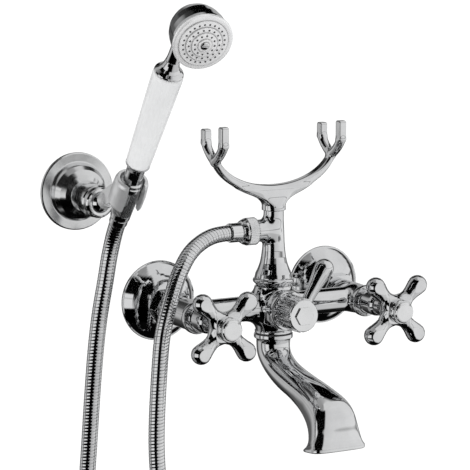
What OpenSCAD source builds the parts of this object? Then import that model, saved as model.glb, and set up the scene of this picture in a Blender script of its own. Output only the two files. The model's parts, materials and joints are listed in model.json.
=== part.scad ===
// Wall mounted bath mixer with a telephone cradle, a hand shower on a metal hose and its wall holder.
// Millimetres. +X right, +Y into the wall, +Z up. Origin: midway between the two wall inlets, on the wall.

/* [Wall inlets] */
// Distance between the two inlet studs
inlet_spacing = 150; // [140:1:160]
// Drop from the inlets to the body axis, set by the eccentric unions
body_drop = 2.5; // [0:0.5:10]
// Radius of the inlet stud thread
stud_r = 10.48; // [9:0.02:14]
// Radius of the bore through the inlet stud
inlet_bore_r = 6.8; // [6.5:0.1:8]
// Length of the stud that goes into the wall
stud_len = 14; // [8:1:25]
// Radius of the wall flange rim
flange_r = 31.8; // [26:0.2:36]
// Depth of the wall flange bell
flange_depth = 16; // [10:1:22]
// Radius across the corners of the union nut
union_nut_r = 16.2; // [15.5:0.1:18]
// Radius of the bell's curve
bell_r = 37; // [32.5:0.5:44]

/* [Mixer body] */
// Distance from the wall to the body axis
body_out = 53; // [48:1:60]
// Radius of the cross tube
tube_r = 9.9; // [9:0.1:12]
// Radius of the valve housings
housing_r = 11.5; // [10.5:0.1:13]
// Distance from the wall to the front of the valve housings
housing_out = 71; // [66:1:76]
// Radius of the centre neck
neck_r = 14.3; // [13:0.1:16]
// Distance from the wall to the front of the diverter socket
socket_out = 78; // [74:1:84]

/* [Handles] */
// Distance from the wall to the plane of the handle arms
arm_out = 112.8; // [108:0.2:118]
// Radius from the spindle axis to the centre of an arm tip
arm_reach = 26.8; // [24:0.2:34]
// Radius of an arm tip
arm_tip_r = 7.6; // [5:0.1:8.5]
// Radius of an arm at its root
arm_root_r = 6; // [3:0.1:6.5]
// Angle of the first arm above the horizontal
arm_angle = 43; // [0:1:90]
// Distance from the wall to the face of the index cap
cap_out = 126.5; // [120:0.5:132]
// Radius of the index cap button
cap_r = 8.4; // [7:0.1:10]

/* [Diverter] */
// Distance from the wall to the face of the diverter cap
diverter_out = 101.3; // [98:0.1:106]
// Radius of the diverter cap
diverter_cap_r = 12.4; // [11:0.1:14]
// Radius of the fluted diverter bonnet
diverter_bonnet_r = 13.4; // [12.6:0.1:14.5]
// Number of flutes round the diverter bonnet
flutes = 22; // [12:1:30]
// Length of the lever from the axis to the centre of its tip
lever_reach = 40.5; // [36:0.5:50]
// Angle of the lever from upright, towards +X
lever_angle = 32; // [0:1:45]
// Radius of the lever tip
lever_tip_r = 7.5; // [5:0.1:8]

/* [Pillar and cradle] */
// Radius of the bead round the foot of the pillar
bead_r = 16.3; // [15:0.1:18]
// Radius of the pillar at its top
pillar_r = 7.9; // [7:0.1:9]
// Height of the pillar top above the body axis
pillar_top = 76; // [70:1:84]
// Height of the hose outlet above the body axis
outlet_up = 60.5; // [56:0.5:64]
// Half distance between the two forks
fork_x = 51.6; // [46:0.2:60]
// Half distance between the prongs of one fork
prong_y = 14.5; // [12:0.5:18]
// Radius of a prong
prong_r = 3.4; // [2.5:0.1:4.5]
// Height of the front prongs above the body axis
front_prong_up = 144.5; // [138:0.5:150]
// Height of the back prongs above the body axis
back_prong_up = 140.5; // [136:0.5:150]

/* [Spout] */
// Distance from the wall to the front of the spout mouth
spout_reach = 160; // [150:1:175]
// Width of the spout mouth
mouth_width = 46; // [36:1:50]
// Wall thickness of the spout
spout_wall = 2.2; // [1.6:0.1:3]

/* [Hose] */
// Outside radius of the metal hose
hose_r = 6.2; // [5:0.1:7.5]

/* [Hand shower] */
// Lean of the hand shower from upright, away from the wall
lean = 36; // [20:1:45]
// Length of the ceramic grip
grip_len = 85.5; // [75:0.5:100]
// Radius of the grip at its foot
grip_foot_r = 8.9; // [8:0.1:11]
// Radius of the grip at its top
grip_top_r = 11.2; // [9:0.1:13]
// Turn of the head about the hand shower's own axis
head_turn = 7; // [-20:1:20]
// Radius of the spray face
face_r = 21; // [18:0.5:30]
// Rise of the stepped spray plate at its middle
plate_rise = 4.2; // [1:0.2:6]
// Number of spray holes in the outer ring
outer_holes = 25; // [12:1:30]

/* [Wall holder] */
// Distance of the holder axis to the left of the origin
holder_x = 144; // [135:1:160]
// Height of the holder axis above the inlets
holder_up = 91.2; // [80:0.2:100]
// Dip of the holder's socket below the horizontal
holder_dip = 5; // [0:1:15]
// Radius of the holder flange
holder_flange_r = 30; // [26:0.5:34]
// Radius of the holder ball
ball_r = 7.6; // [6.5:0.1:8.5]
// Distance from the wall to the centre of the ball
ball_out = 43; // [40:0.5:48]

/* [Output] */
// Piece to draw, or all of them

/* [Hidden] */
$fn = 72;
fit = 0.05;
half_spacing = inlet_spacing / 2;
chrome_colour = [0.82, 0.83, 0.85];
bright_colour = [0.88, 0.89, 0.9];
brass_colour = [0.78, 0.64, 0.36];
rubber_colour = [0.08, 0.08, 0.09];
ceramic_colour = [0.95, 0.95, 0.94];
plastic_colour = [0.2, 0.2, 0.22];

// union line: distances from the wall
bell_edge = acos((flange_r - 1.4) / bell_r);
bell_centre = 2.4 - bell_r * sin(bell_edge);
nut_back = flange_depth + 1;
union_front = nut_back + 6.5;
tail_back = union_front + 1.5;
nut_lip = tail_back + 2;
nut_front = nut_lip + 2.5;
waterway_r = 6;

// valve line
socket_r = 8.6;
socket_floor = housing_out - 13;
hex_r = 8;
gland_out = 90;
hub_foot = gland_out + 0.6;
spindle_r = 3.5;
spindle_end = 108.5;
cap_seat = cap_out - 7.5;

// diverter line
bonnet_front = 90;
hub_back = bonnet_front + 0.4;
cap_back = diverter_out - 3.3;
lever_out = (hub_back + cap_back) / 2;

// neck and spout line, measured up from the body axis
neck_top = 17;
neck_foot = -20.5;
spout_top = neck_foot - 1;

// cradle
fork_bend = 130;
bow_half = 52;
bow_drop = 30.5;
bow_up = 126;
bow_thick = 9;

// hand shower, measured along its own axis from the foot of the cone nut
foot_y = -78.5;
foot_z = 81.5;
nut_len = 34;
collar_back = nut_len + 0.6;
grip_foot = 53.5;
grip_top = grip_foot + grip_len;
elbow_up = grip_top + 31;
neck_bend = 36;
face_up = grip_top + 55.7;
face_ahead = 35;
face_tilt = 82;
clip_foot = 14;
clip_top = 38;

// wall holder
ring_back = 27;
ring_front = 46;
clip_y = foot_y - (clip_foot + clip_top) / 2 * sin(lean);
clip_z = foot_z + (clip_foot + clip_top) / 2 * cos(lean);
ball_y = -ball_out * cos(holder_dip);
ball_z = holder_up - ball_out * sin(holder_dip);
arm_rise = atan2(clip_z - ball_z, ball_y - clip_y);

// distances out from the pillar: where the hose nut starts, and where its ferrule ends, just short of
// the hose's tilted first ring
nut_out = 16.6;
ferrule_end = 40;

// hose route: the outlet leg and the loop, then the riser, then the last stretch at the hand shower
hose_from = -41;
loop_route = [
    [hose_from, -53, 58], [-53, -54, 57], [-65, -56, 53], [-76, -59, 46], [-84, -62, 37], [-90, -64, 27],
    [-95, -66, 16], [-99, -67, 5], [-103, -67, -10], [-106, -67, -34], [-108, -66, -70], [-108, -65, -110],
    [-104, -67, -155], [-97, -70, -205], [-88, -74, -260], [-82, -77, -315], [-79, -79, -365],
    [-78, -78, -410], [-84, -75, -436], [-102, -66, -455], [-127, -53, -462], [-152, -40, -455],
    [-170, -30, -436], [-176, -26, -410], [-177, -24, -365], [-174, -25, -320], [-169, -28, -270]
];
riser_route = [
    [-169, -28, -270], [-163, -31, -220], [-158, -35, -170], [-155, -40, -120], [-154, -46, -72],
    [-153, -52, -28], [-150.5, -57.5, 10], [-147.7, -60.8, 33]
];
tail_start = [-147.5, -61, 34];
tail_bend = [[-145.5, -62.6, 49], [-144.4, -64.6, 58], [-144, -67.6, 65.4]];
sides = 12;

// ---------- helpers ----------
module out_axis(x = 0, z = 0) {
    translate([x, 0, z])
        rotate([90, 0, 0])
            children();
}

module valve_axis(side) {
    out_axis(side * half_spacing, -body_drop)
        children();
}

module body_axis() {
    translate([0, -body_out, -body_drop])
        children();
}

module shower_axis() {
    translate([-holder_x, foot_y, foot_z])
        rotate([lean, 0, 0])
            children();
}

module head_axis() {
    shower_axis()
        rotate([0, 0, -head_turn])
            children();
}

module face_axis() {
    head_axis()
        translate([0, -face_ahead, face_up])
            rotate([face_tilt, 0, 0])
                children();
}

module holder_axis() {
    out_axis(-holder_x, holder_up)
        children();
}

module socket_axis() {
    holder_axis()
        rotate([holder_dip, 0, 0])
            children();
}

module pipe(r, bore, from, to) {
    translate([0, 0, from])
        difference() {
            cylinder(r = r, h = to - from);
            translate([0, 0, -1])
                cylinder(r = bore, h = to - from + 2);
        }
}

module rod(r, from, to) {
    translate([0, 0, from])
        cylinder(r = r, h = to - from);
}

module turned(profile) {
    rotate_extrude()
        polygon(profile);
}

function bend(c, r, a0, a1, n = 10) =
    [for (i = [0 : n]) [c[0] + r * cos(a0 + (a1 - a0) * i / n), c[1] + r * sin(a0 + (a1 - a0) * i / n)]];

function unit(v) = v / norm(v);

function ring_dir(route, i) =
    i == 0 ? unit(route[1] - route[0])
    : i == len(route) - 1 ? unit(route[i] - route[i - 1])
    : unit(unit(route[i + 1] - route[i]) + unit(route[i] - route[i - 1]));

function tube_points(route, r) = [
    for (i = [0 : len(route) - 1])
        let (d = ring_dir(route, i), u = unit(cross([0.5, 0.87, 0.05], d)), v = cross(d, u))
            for (k = [0 : sides - 1])
                route[i] + r * (cos(360 * k / sides) * u + sin(360 * k / sides) * v)
];

function tube_faces(rings) = concat(
    [[for (k = [0 : sides - 1]) k]],
    [
        for (i = [0 : rings - 2])
            for (k = [0 : sides - 1])
                let (a = i * sides, b = a + sides, n = (k + 1) % sides)
                    [a + k, b + k, b + n, a + n]
    ],
    [[for (k = [sides - 1 : -1 : 0]) (rings - 1) * sides + k]]
);

module hose(route) {
    polyhedron(points = tube_points(route, hose_r), faces = tube_faces(len(route)), convexity = 6);
}

// ---------- inlets ----------
module s_unions() {
    color(chrome_colour)
        for (side = [-1, 1])
            difference() {
                union() {
                    out_axis(side * half_spacing, 0)
                        rod(stud_r, -stud_len, 1);
                    out_axis(side * half_spacing, 0)
                        rod(12.2, 0, nut_back - 2.6);
                    valve_axis(side)
                        rod(13.2, nut_back - 3, union_front);
                }
                out_axis(side * half_spacing, 0)
                    rod(inlet_bore_r, -stud_len - 1, nut_back - 4);
                valve_axis(side)
                    rod(waterway_r, nut_back - 5, union_front + 1);
            }
}

module wall_flanges() {
    color(chrome_colour)
        for (side = [-1, 1])
            difference() {
                out_axis(side * half_spacing, 0)
                    turned(concat(
                        [[flange_r - 1.4, 0], [flange_r - 0.4, 0.2]],
                        [[flange_r, 1.2], [flange_r - 0.3, 2]],
                        bend([0, bell_centre], bell_r, bell_edge, 74, 14),
                        bend([0, bell_centre], bell_r - 1.4, 74, bell_edge + 1, 14),
                        [[flange_r - 2.8, 1.4], [flange_r - 2.8, 0]]
                    ));
                valve_axis(side)
                    rod(13.6, flange_depth - 5, flange_depth + 1);
            }
}

module union_nuts() {
    color(chrome_colour)
        for (side = [-1, 1])
            valve_axis(side)
                difference() {
                    intersection() {
                        translate([0, 0, nut_back])
                            cylinder(r = union_nut_r, h = nut_front - nut_back, $fn = 6);
                        turned([
                            [0, nut_back], [union_nut_r - 1.2, nut_back],
                            [union_nut_r + 0.3, nut_back + 1.5], [union_nut_r + 0.3, nut_front - 1.5],
                            [union_nut_r - 1.6, nut_front], [0, nut_front]
                        ]);
                    }
                    rod(13.2 + fit, nut_back - 1, nut_lip + fit);
                    rod(10.1 + fit, nut_lip, nut_front + 1);
                }
}

module union_washers() {
    color(rubber_colour)
        for (side = [-1, 1])
            valve_axis(side)
                pipe(12.4, waterway_r + 1, union_front, tail_back);
}

// ---------- body ----------
module housing_solid() {
    turned([
        [0, tail_back], [12.4, tail_back], [12.4, nut_lip], [10.1, nut_lip], [10.1, nut_front + 0.6],
        [housing_r - 0.6, nut_front + 0.6], [housing_r, nut_front + 1.4], [housing_r, housing_out - 5.5],
        [housing_r + 1, housing_out - 4.4], [housing_r + 1, housing_out - 1],
        [housing_r + 0.3, housing_out], [0, housing_out]
    ]);
}

module body_casting() {
    color(chrome_colour)
        difference() {
            union() {
                for (side = [-1, 1])
                    valve_axis(side)
                        housing_solid();
                body_axis()
                    rotate([0, 90, 0])
                        translate([0, 0, -half_spacing])
                            cylinder(r = tube_r, h = inlet_spacing);
                for (side = [-1, 1])
                    body_axis()
                        rotate([0, side * 90, 0])
                            turned(concat(
                                [[0, 8], [neck_r - 0.6, 8]],
                                bend([tube_r + 9, 23], 9, 206, 180, 6),
                                [[0, 23]]
                            ));
                body_axis()
                    turned([
                        [0, neck_foot], [neck_r + 0.3, neck_foot], [neck_r + 0.3, neck_foot + 2.5],
                        [neck_r - 0.7, neck_foot + 4], [neck_r - 0.9, 0], [neck_r - 0.9, 9],
                        [neck_r - 0.2, neck_top], [0, neck_top]
                    ]);
                out_axis(0, -body_drop)
                    turned([
                        [0, body_out], [neck_r - 0.3, body_out], [neck_r - 0.3, socket_out - 4.4],
                        [neck_r + 1.1, socket_out - 3.6], [neck_r + 1.3, socket_out - 2],
                        [neck_r + 0.9, socket_out - 0.4], [neck_r + 0.3, socket_out], [0, socket_out]
                    ]);
            }
            for (side = [-1, 1])
                valve_axis(side) {
                    rod(waterway_r, tail_back - 1, socket_floor + 1);
                    rod(socket_r, socket_floor, housing_out + 1);
                }
            body_axis()
                rotate([0, 90, 0])
                    translate([0, 0, -half_spacing])
                        cylinder(r = waterway_r, h = inlet_spacing);
            body_axis()
                rod(8, neck_foot - 1, neck_top + 1);
            out_axis(0, -body_drop)
                rod(11, 62, socket_out + 1);
        }
}

// ---------- valves and handles ----------
module headworks() {
    color(brass_colour)
        for (side = [-1, 1])
            valve_axis(side)
                difference() {
                    union() {
                        rod(socket_r - fit, socket_floor + 1, housing_out);
                        translate([0, 0, housing_out])
                            cylinder(r = hex_r, h = 4, $fn = 6);
                        rod(6, housing_out + 3, gland_out - 2);
                    }
                    rod(7.1, socket_floor, socket_floor + 9.3);
                    rod(spindle_r + fit, socket_floor + 9, gland_out);
                }
}

module seat_discs() {
    color(ceramic_colour)
        for (side = [-1, 1])
            valve_axis(side)
                difference() {
                    rod(7.05, socket_floor + 1.5, socket_floor + 4.5);
                    for (turn = [0, 180])
                        rotate([0, 0, turn])
                            translate([3.6, 0, socket_floor])
                                cylinder(r = 2, h = 6);
                }
}

module bonnets() {
    color(chrome_colour)
        for (side = [-1, 1])
            valve_axis(side)
                turned([
                    [hex_r + 0.3, housing_out], [9.6, housing_out], [9.6, housing_out + 1.6],
                    [9.1, housing_out + 2.4],
                    [9.1, gland_out - 4], [8.6, gland_out - 1.6], [7.4, gland_out], [4, gland_out],
                    [4, gland_out - 1.4], [6.2, gland_out - 1.8], [7.6, gland_out - 3.4],
                    [hex_r + 0.1, gland_out - 5],
                    [hex_r + 0.3, gland_out - 7]
                ]);
}

module spindle(side) {
    color(brass_colour)
        valve_axis(side)
            difference() {
                union() {
                    rod(6.8, socket_floor + 8, socket_floor + 9);
                    rod(spindle_r, socket_floor + 8.5, spindle_end);
                }
                rod(2 + fit, spindle_end - 8, spindle_end + 1);
            }
}

module valve_disc(side) {
    color(ceramic_colour)
        valve_axis(side)
            difference() {
                rod(6.8, socket_floor + 4.8, socket_floor + 8);
                translate([3.6, 0, socket_floor + 4])
                    cylinder(r = 2, h = 3);
            }
}

module club_arm() {
    rotate([0, 90, 0])
        turned(concat(
            [[0, 5], [arm_root_r + 1.1, 8], [arm_root_r + 0.4, 12], [arm_root_r, 16]],
            [[arm_root_r + 0.3, 19], [arm_root_r + 0.8, 22]],
            bend([0, arm_reach], arm_tip_r, -18, 90, 12)
        ));
}

module cross_handle(side, turn) {
    color(chrome_colour)
        valve_axis(side)
            difference() {
                union() {
                    turned([
                        [0, hub_foot], [6.6, hub_foot], [7, hub_foot + 0.8],
                        [7, 97], [7.6, 100], [9, 104], [10.6, 107.4],
                        [11.4, arm_out - 1.6], [11.4, arm_out + 1.4], [10.6, arm_out + 4],
                        [9.4, cap_seat - 1], [9.4, cap_seat], [0, cap_seat]
                    ]);
                    for (k = [0 : 3])
                        translate([0, 0, arm_out])
                            rotate([0, 0, turn + 90 * k])
                                club_arm();
                }
                rod(spindle_r + fit, hub_foot - 1, spindle_end + 0.3);
                rod(2.3, spindle_end, spindle_end + 4);
                rod(8.2, spindle_end + 3.5, cap_seat + 1);
                rod(cap_r + 1.3, cap_seat, cap_out);
            }
}

module handle_screw(side) {
    color(brass_colour)
        valve_axis(side)
            difference() {
                union() {
                    rod(2, spindle_end - 7, spindle_end + 3.6);
                    rod(3.8, spindle_end + 3.5, spindle_end + 6);
                }
                translate([0, 0, spindle_end + 4.6])
                    cylinder(r = 1.7, h = 3, $fn = 6);
            }
}

module index_cap(side) {
    color(bright_colour)
        valve_axis(side)
            turned([
                [0, cap_seat - 2.4], [8.1, cap_seat - 2.4], [8.1, cap_seat], [cap_r + 0.9, cap_seat],
                [cap_r + 1, cap_seat + 1], [cap_r + 1, cap_seat + 3.4], [cap_r + 0.5, cap_seat + 4.2],
                [cap_r - 0.3, cap_seat + 4], [cap_r - 0.3, cap_out - 1], [cap_r - 1, cap_out - 0.2],
                [cap_r - 2, cap_out], [0, cap_out]
            ]);
}

module spindle_hot() {
    spindle(-1);
}

module spindle_cold() {
    spindle(1);
}

module disc_hot() {
    valve_disc(-1);
}

module disc_cold() {
    valve_disc(1);
}

module handle_hot() {
    cross_handle(-1, arm_angle);
}

module handle_cold() {
    cross_handle(1, arm_angle);
}

module handle_screw_hot() {
    handle_screw(-1);
}

module handle_screw_cold() {
    handle_screw(1);
}

module index_cap_hot() {
    index_cap(-1);
}

module index_cap_cold() {
    index_cap(1);
}

// ---------- diverter ----------
module flute_cuts(from, to) {
    for (k = [0 : flutes - 1])
        rotate([0, 0, 360 * k / flutes])
            translate([diverter_bonnet_r + 0.4, 0, from])
                cylinder(r = 1.2, h = to - from, $fn = 16);
}

module diverter_cartridge() {
    color(brass_colour)
        out_axis(0, -body_drop)
            difference() {
                rod(11 - fit, 62.5, socket_out - 1);
                rod(4 + fit, 66, socket_out);
                translate([0, -5, 60])
                    cylinder(r = 2.6, h = 7);
                translate([0, 5, 60])
                    cylinder(r = 2.6, h = 7);
            }
}

module diverter_bonnet() {
    color(chrome_colour)
        out_axis(0, -body_drop)
            difference() {
                turned([
                    [10.6, socket_out], [diverter_bonnet_r - 0.3, socket_out],
                    [diverter_bonnet_r, socket_out + 0.5],
                    [diverter_bonnet_r, bonnet_front - 0.5], [diverter_bonnet_r - 0.5, bonnet_front],
                    [4.3, bonnet_front], [4.3, bonnet_front - 3], [10.6, bonnet_front - 3]
                ]);
                flute_cuts(socket_out + 1.2, bonnet_front + 1);
            }
}

module diverter_spindle() {
    color(brass_colour)
        out_axis(0, -body_drop)
            rod(4, 68, cap_back);
}

module lever_arm() {
    rotate([0, 90, 0])
        turned(concat(
            [[0, 6], [4.2, 6], [4.4, 13], [4.8, 20], [5.4, 26], [6.3, lever_reach - 8.5]],
            bend([0, lever_reach], lever_tip_r, -20, 90, 12)
        ));
}

module diverter_lever() {
    color(chrome_colour)
        out_axis(0, -body_drop)
            difference() {
                union() {
                    difference() {
                        turned([
                            [0, hub_back], [diverter_bonnet_r - 0.5, hub_back],
                            [diverter_bonnet_r, hub_back + 0.5], [diverter_bonnet_r, cap_back - 0.5],
                            [diverter_bonnet_r - 0.5, cap_back], [0, cap_back]
                        ]);
                        flute_cuts(hub_back - 1, cap_back + 1);
                    }
                    translate([0, 0, lever_out])
                        rotate([0, 0, 90 - lever_angle])
                            lever_arm();
                }
                rod(4 + fit, hub_back - 1, cap_back + 1);
                rod(diverter_cap_r + 0.3, cap_back, diverter_out);
                rod(diverter_bonnet_r + 0.3, socket_out, hub_back);
            }
}

module diverter_cap() {
    color(bright_colour)
        out_axis(0, -body_drop) {
            turned([
                [0, cap_back], [diverter_cap_r - 0.6, cap_back], [diverter_cap_r, cap_back + 0.7],
                [diverter_cap_r, diverter_out - 0.7], [diverter_cap_r - 0.6, diverter_out],
                [0, diverter_out]
            ]);
            translate([0, 0, diverter_out - 0.1])
                cylinder(r = 7.6, h = 1.6, $fn = 6);
        }
}

// ---------- pillar and cradle ----------
module pillar() {
    color(chrome_colour)
        body_axis()
            difference() {
                union() {
                    turned(concat(
                        [[0, 8], [8 - fit, 8], [8 - fit, neck_top]],
                        [[neck_r - 0.6, neck_top], [neck_r + 0.6, 18.4]],
                        bend([bead_r - 2.2, 20.8], 2.2, -62, 70, 8),
                        [[neck_r + 0.5, 23.4], [14.1, 26.4], [12.2, 30.4], [10.7, 34.6]],
                        [[9.7, 39.4], [9, 44.6]],
                        [[8.5, 51], [8.2, 60], [pillar_r, 68], [pillar_r, pillar_top], [0, pillar_top]]
                    ));
                    translate([0, 0, outlet_up])
                        rotate([0, -90, 0])
                            turned([
                                [0, 0], [8.6, 0], [8.6, nut_out - 0.7], [8.3, nut_out - 0.3],
                                [8.3, nut_out + 6.6], [0, nut_out + 6.6]
                            ]);
                }
                rod(5, 7, outlet_up);
                translate([0, 0, outlet_up])
                    rotate([0, -90, 0])
                        cylinder(r = 4.6, h = nut_out + 8);
                rod(3 + fit, pillar_top - 8, pillar_top + 1);
            }
}

module cradle_stud() {
    color(brass_colour)
        body_axis()
            rod(3, pillar_top - 7, pillar_top + 7);
}

module fork(side) {
    route = [[0, prong_y, fork_bend], [0, prong_y - 3.6, fork_bend - 7], [0, 0, fork_bend - 13.4]];
    translate([side * fork_x, 0, 0])
        for (front = [0, 1])
            mirror([0, front, 0]) {
                translate(route[0])
                    prong((front == 1 ? front_prong_up : back_prong_up) - fork_bend);
                bar(route[0], route[1]);
                bar(route[1], route[2]);
            }
}

// a round bar in the plane of one fork, with a ball at both ends
module bar(from, to) {
    rise = to - from;
    translate(from) {
        sphere(r = prong_r + 0.05);
        rotate([-atan2(rise[1], rise[2]), 0, 0])
            cylinder(r = prong_r, h = norm(rise));
    }
    translate(to)
        sphere(r = prong_r + 0.15);
}

module prong(height) {
    turned([[0, 0], [prong_r, 0], [prong_r, height - 1.1], [prong_r - 0.9, height], [0, height]]);
}

function bow(wide, deep, a0, a1, n) =
    [for (i = [0 : n]) let (a = a0 + (a1 - a0) * i / n) [wide * cos(a), bow_up + deep * sin(a)]];

function web_side(side) =
    let (half = [[9, 2], [9.6, 6], [11.6, 9.6], [15, 12], [20, 14], [27, 16.4], [35, 20.8], [35, 24]])
        [for (i = [0 : 7]) let (p = half[side > 0 ? i : 7 - i]) [side * p[0], pillar_top + p[1]]];

module cradle() {
    color(chrome_colour)
        body_axis()
            difference() {
                union() {
                    turned([
                        [0, pillar_top], [9.6, pillar_top], [9.8, pillar_top + 0.8], [9.6, pillar_top + 3],
                        [8.8, pillar_top + 9], [0, pillar_top + 9]
                    ]);
                    rotate([90, 0, 0])
                        linear_extrude(height = bow_thick, center = true)
                            polygon(concat(
                                bow(bow_half, bow_drop, 197, 343, 40),
                                bow(bow_half + 3, bow_drop + 7.2, 343, 197, 40)
                            ));
                    rotate([90, 0, 0])
                        linear_extrude(height = bow_thick + 2, center = true)
                            polygon(concat(web_side(1), web_side(-1)));
                    for (side = [-1, 1])
                        fork(side);
                }
                rod(3 + fit, pillar_top - 1, pillar_top + 8);
                rotate([90, 0, 0])
                    linear_extrude(height = 60, center = true)
                        polygon(bow(bow_half, bow_drop, 216, 324, 40));
            }
}

// ---------- spout ----------
// Each station: top or front point [y, z], bottom or back point [y, z], half width, squareness
mouth_half = mouth_width / 2;
mouth_slope = -6.1;
stations = [
    [[-68.3, -21.5], [-37.7, -21.5], 15.3, 2], [[-68.3, -24.6], [-37.7, -24.6], 15.3, 2],
    [[-66.6, -25.6], [-39.4, -25.6], 13.6, 2], [[-66, -29], [-39.6, -31], 13.3, 2],
    [[-66.8, -33], [-40.3, -37.7], 13.1, 2], [[-71.3, -37], [-43.3, -44], 12.9, 2],
    [[-79.7, -40.2], [-50.3, -51], 12.8, 2], [[-92, -43.1], [-61.3, -57.2], 13, 2],
    [[-106, -45.8], [-75.5, -62], 13.4, 2.1], [[-120, -48.5], [-92, -65.3], 14, 2.3],
    [[-132, -51.5], [-106, -69], 14.9, 2.7], [[-141.5, -54.5], [-117, -72.8], 16, 3.2],
    [[-148.5, -58.5], [-125.6, -77.4], 17, 3.8], [[-152.8, -64], [-131.3, -81.7], 17.9, 4.4],
    [[-155.4, -72], [-134.8, -85.6], 18.8, 5], [[-157, -80], [-136.8, -88.9], 19.8, 5.2],
    [[-158.5, -86.2], [-136.6, -91.6], 21, 5.6], [[-160.2, -89.6], [-135, -93.6], mouth_half, 6],
    [[-spout_reach, -92.2], [-134, -95], mouth_half, 6]
];
ring_points = 36;

function squared(c, power) = sign(c) * pow(abs(c), 2 / power);

function spout_ring(s, inset) =
    let (mid = (s[0] + s[1]) / 2, half = (s[0] - s[1]) / 2, keep = 1 - inset / norm(half))
        [
            for (k = [0 : ring_points - 1])
                let (a = 360 * k / ring_points, u = squared(cos(a), s[3]), v = squared(sin(a), s[3]) * keep)
                    [(s[2] - inset) * u, mid[0] + half[0] * v, mid[1] + half[1] * v]
        ];

module spout_skin(inset, from, to) {
    rings = [for (i = [from : to]) spout_ring(stations[i], inset)];
    count = to - from + 1;
    polyhedron(
        points = [for (r = rings) for (p = r) p],
        faces = concat(
            [[for (k = [0 : ring_points - 1]) k]],
            [
                for (i = [0 : count - 2])
                    for (k = [0 : ring_points - 1])
                        let (a = i * ring_points, b = a + ring_points, n = (k + 1) % ring_points)
                            [a + k, b + k, b + n, a + n]
            ],
            [[for (k = [ring_points - 1 : -1 : 0]) (count - 1) * ring_points + k]]
        ),
        convexity = 6
    );
}

module spout_nipple() {
    color(brass_colour)
        body_axis()
            difference() {
                union() {
                    rod(8 - fit, neck_foot - 9, neck_foot + 10);
                    rod(10.9, neck_foot - 6, neck_foot - 2);
                }
                rod(5.5, neck_foot - 10, neck_foot + 11);
            }
}

module spout_seal() {
    color(rubber_colour)
        body_axis()
            pipe(14.2, 9, spout_top, neck_foot);
}

module spout() {
    last = len(stations) - 1;
    color(chrome_colour)
        translate([0, 0, -body_drop])
            difference() {
                spout_skin(0, 0, last);
                spout_skin(spout_wall, 2, last - 1);
                translate([0, -body_out, 0])
                    rod(11.2, -27, -20);
                mouth_cut(last);
            }
}

module mouth_cut(last) {
    translate([0, -spout_reach, stations[last][0][1]])
        rotate([mouth_slope, 0, 0])
            translate([0, 0, -2])
                linear_extrude(height = 6)
                    translate([0, spout_reach])
                        polygon([for (p = spout_ring(stations[last], spout_wall)) [p[0], p[1]]]);
}

// ---------- hose ----------
module hose_axis() {
    translate([0, -body_out, outlet_up - body_drop])
        rotate([0, -90, 0])
            children();
}

module hose_washer() {
    color(rubber_colour)
        hose_axis()
            pipe(8.2, 4.6, nut_out + 6.6, nut_out + 8);
}

module hose_nut() {
    color(bright_colour)
        hose_axis()
            difference() {
                turned([
                    [0, nut_out], [10.2, nut_out], [10.8, nut_out + 0.7], [10.8, nut_out + 8.4],
                    [10.2, nut_out + 9.1], [10, nut_out + 10.6], [8.6, nut_out + 12.4],
                    [0, nut_out + 12.4]
                ]);
                rod(8.3 + fit, nut_out - 1, nut_out + 9.7);
                rod(6.1, nut_out + 9, nut_out + 14);
            }
}

module hose_ferrule() {
    color(bright_colour)
        hose_axis()
            difference() {
                turned([
                    [0, nut_out + 8], [8.2, nut_out + 8], [8.2, nut_out + 9.6], [6, nut_out + 9.6],
                    [6, nut_out + 13.2], [7.2, nut_out + 13.2], [7.5, nut_out + 14],
                    [7.5, ferrule_end - 1], [7, ferrule_end], [0, ferrule_end]
                ]);
                rod(4.6, nut_out + 6.6, ferrule_end - 3);
            }
}

module hose_loop() {
    color(chrome_colour)
        hose(loop_route);
}

module hose_riser() {
    color(chrome_colour)
        hose(riser_route);
}

function along_shower(s) = [-holder_x, foot_y - s * sin(lean), foot_z + s * cos(lean)];

module hose_tail() {
    color(chrome_colour)
        hose(concat([tail_start], tail_bend, [along_shower(-12), along_shower(-5)]));
}

module tail_ferrule() {
    color(bright_colour)
        shower_axis()
            difference() {
                turned([
                    [0, -5], [6.9, -5], [6.9, -0.2], [6.4, 0.4], [6.4, 14], [7.4, 14], [7.4, 15.6],
                    [0, 15.6]
                ]);
                rod(4, -2, 17);
            }
}

module cone_nut() {
    color(bright_colour)
        shower_axis()
            difference() {
                turned([
                    [0, 0.2], [7, 0.2], [7.6, 1], [8.7, nut_len - 1], [8.3, nut_len], [0, nut_len]
                ]);
                rod(6.5, -1, 14);
                rod(7.6, 13.8, nut_len + 1);
            }
}

module cone_washer() {
    color(rubber_colour)
        shower_axis()
            pipe(7.4, 4, 15.6, 17.4);
}

// ---------- hand shower ----------
module lower_collar() {
    color(chrome_colour)
        shower_axis()
            difference() {
                turned([
                    [0, 17.4], [7.5, 17.4], [7.5, collar_back], [8.2, collar_back],
                    [8.2, collar_back + 1.6], [6.9, collar_back + 2.4], [6.8, grip_foot - 5.5],
                    [7.4, grip_foot - 2.6], [8.8, grip_foot - 1.2],
                    [9.1, grip_foot - 0.6], [9.1, grip_foot], [0, grip_foot]
                ]);
                rod(3.6, 17, grip_foot + 1);
                rod(5 + fit, grip_foot - 6, grip_foot + 1);
            }
}

module handset_tube() {
    color(brass_colour)
        shower_axis()
            pipe(5, 3.6, grip_foot - 6, grip_top + 4);
}

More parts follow.
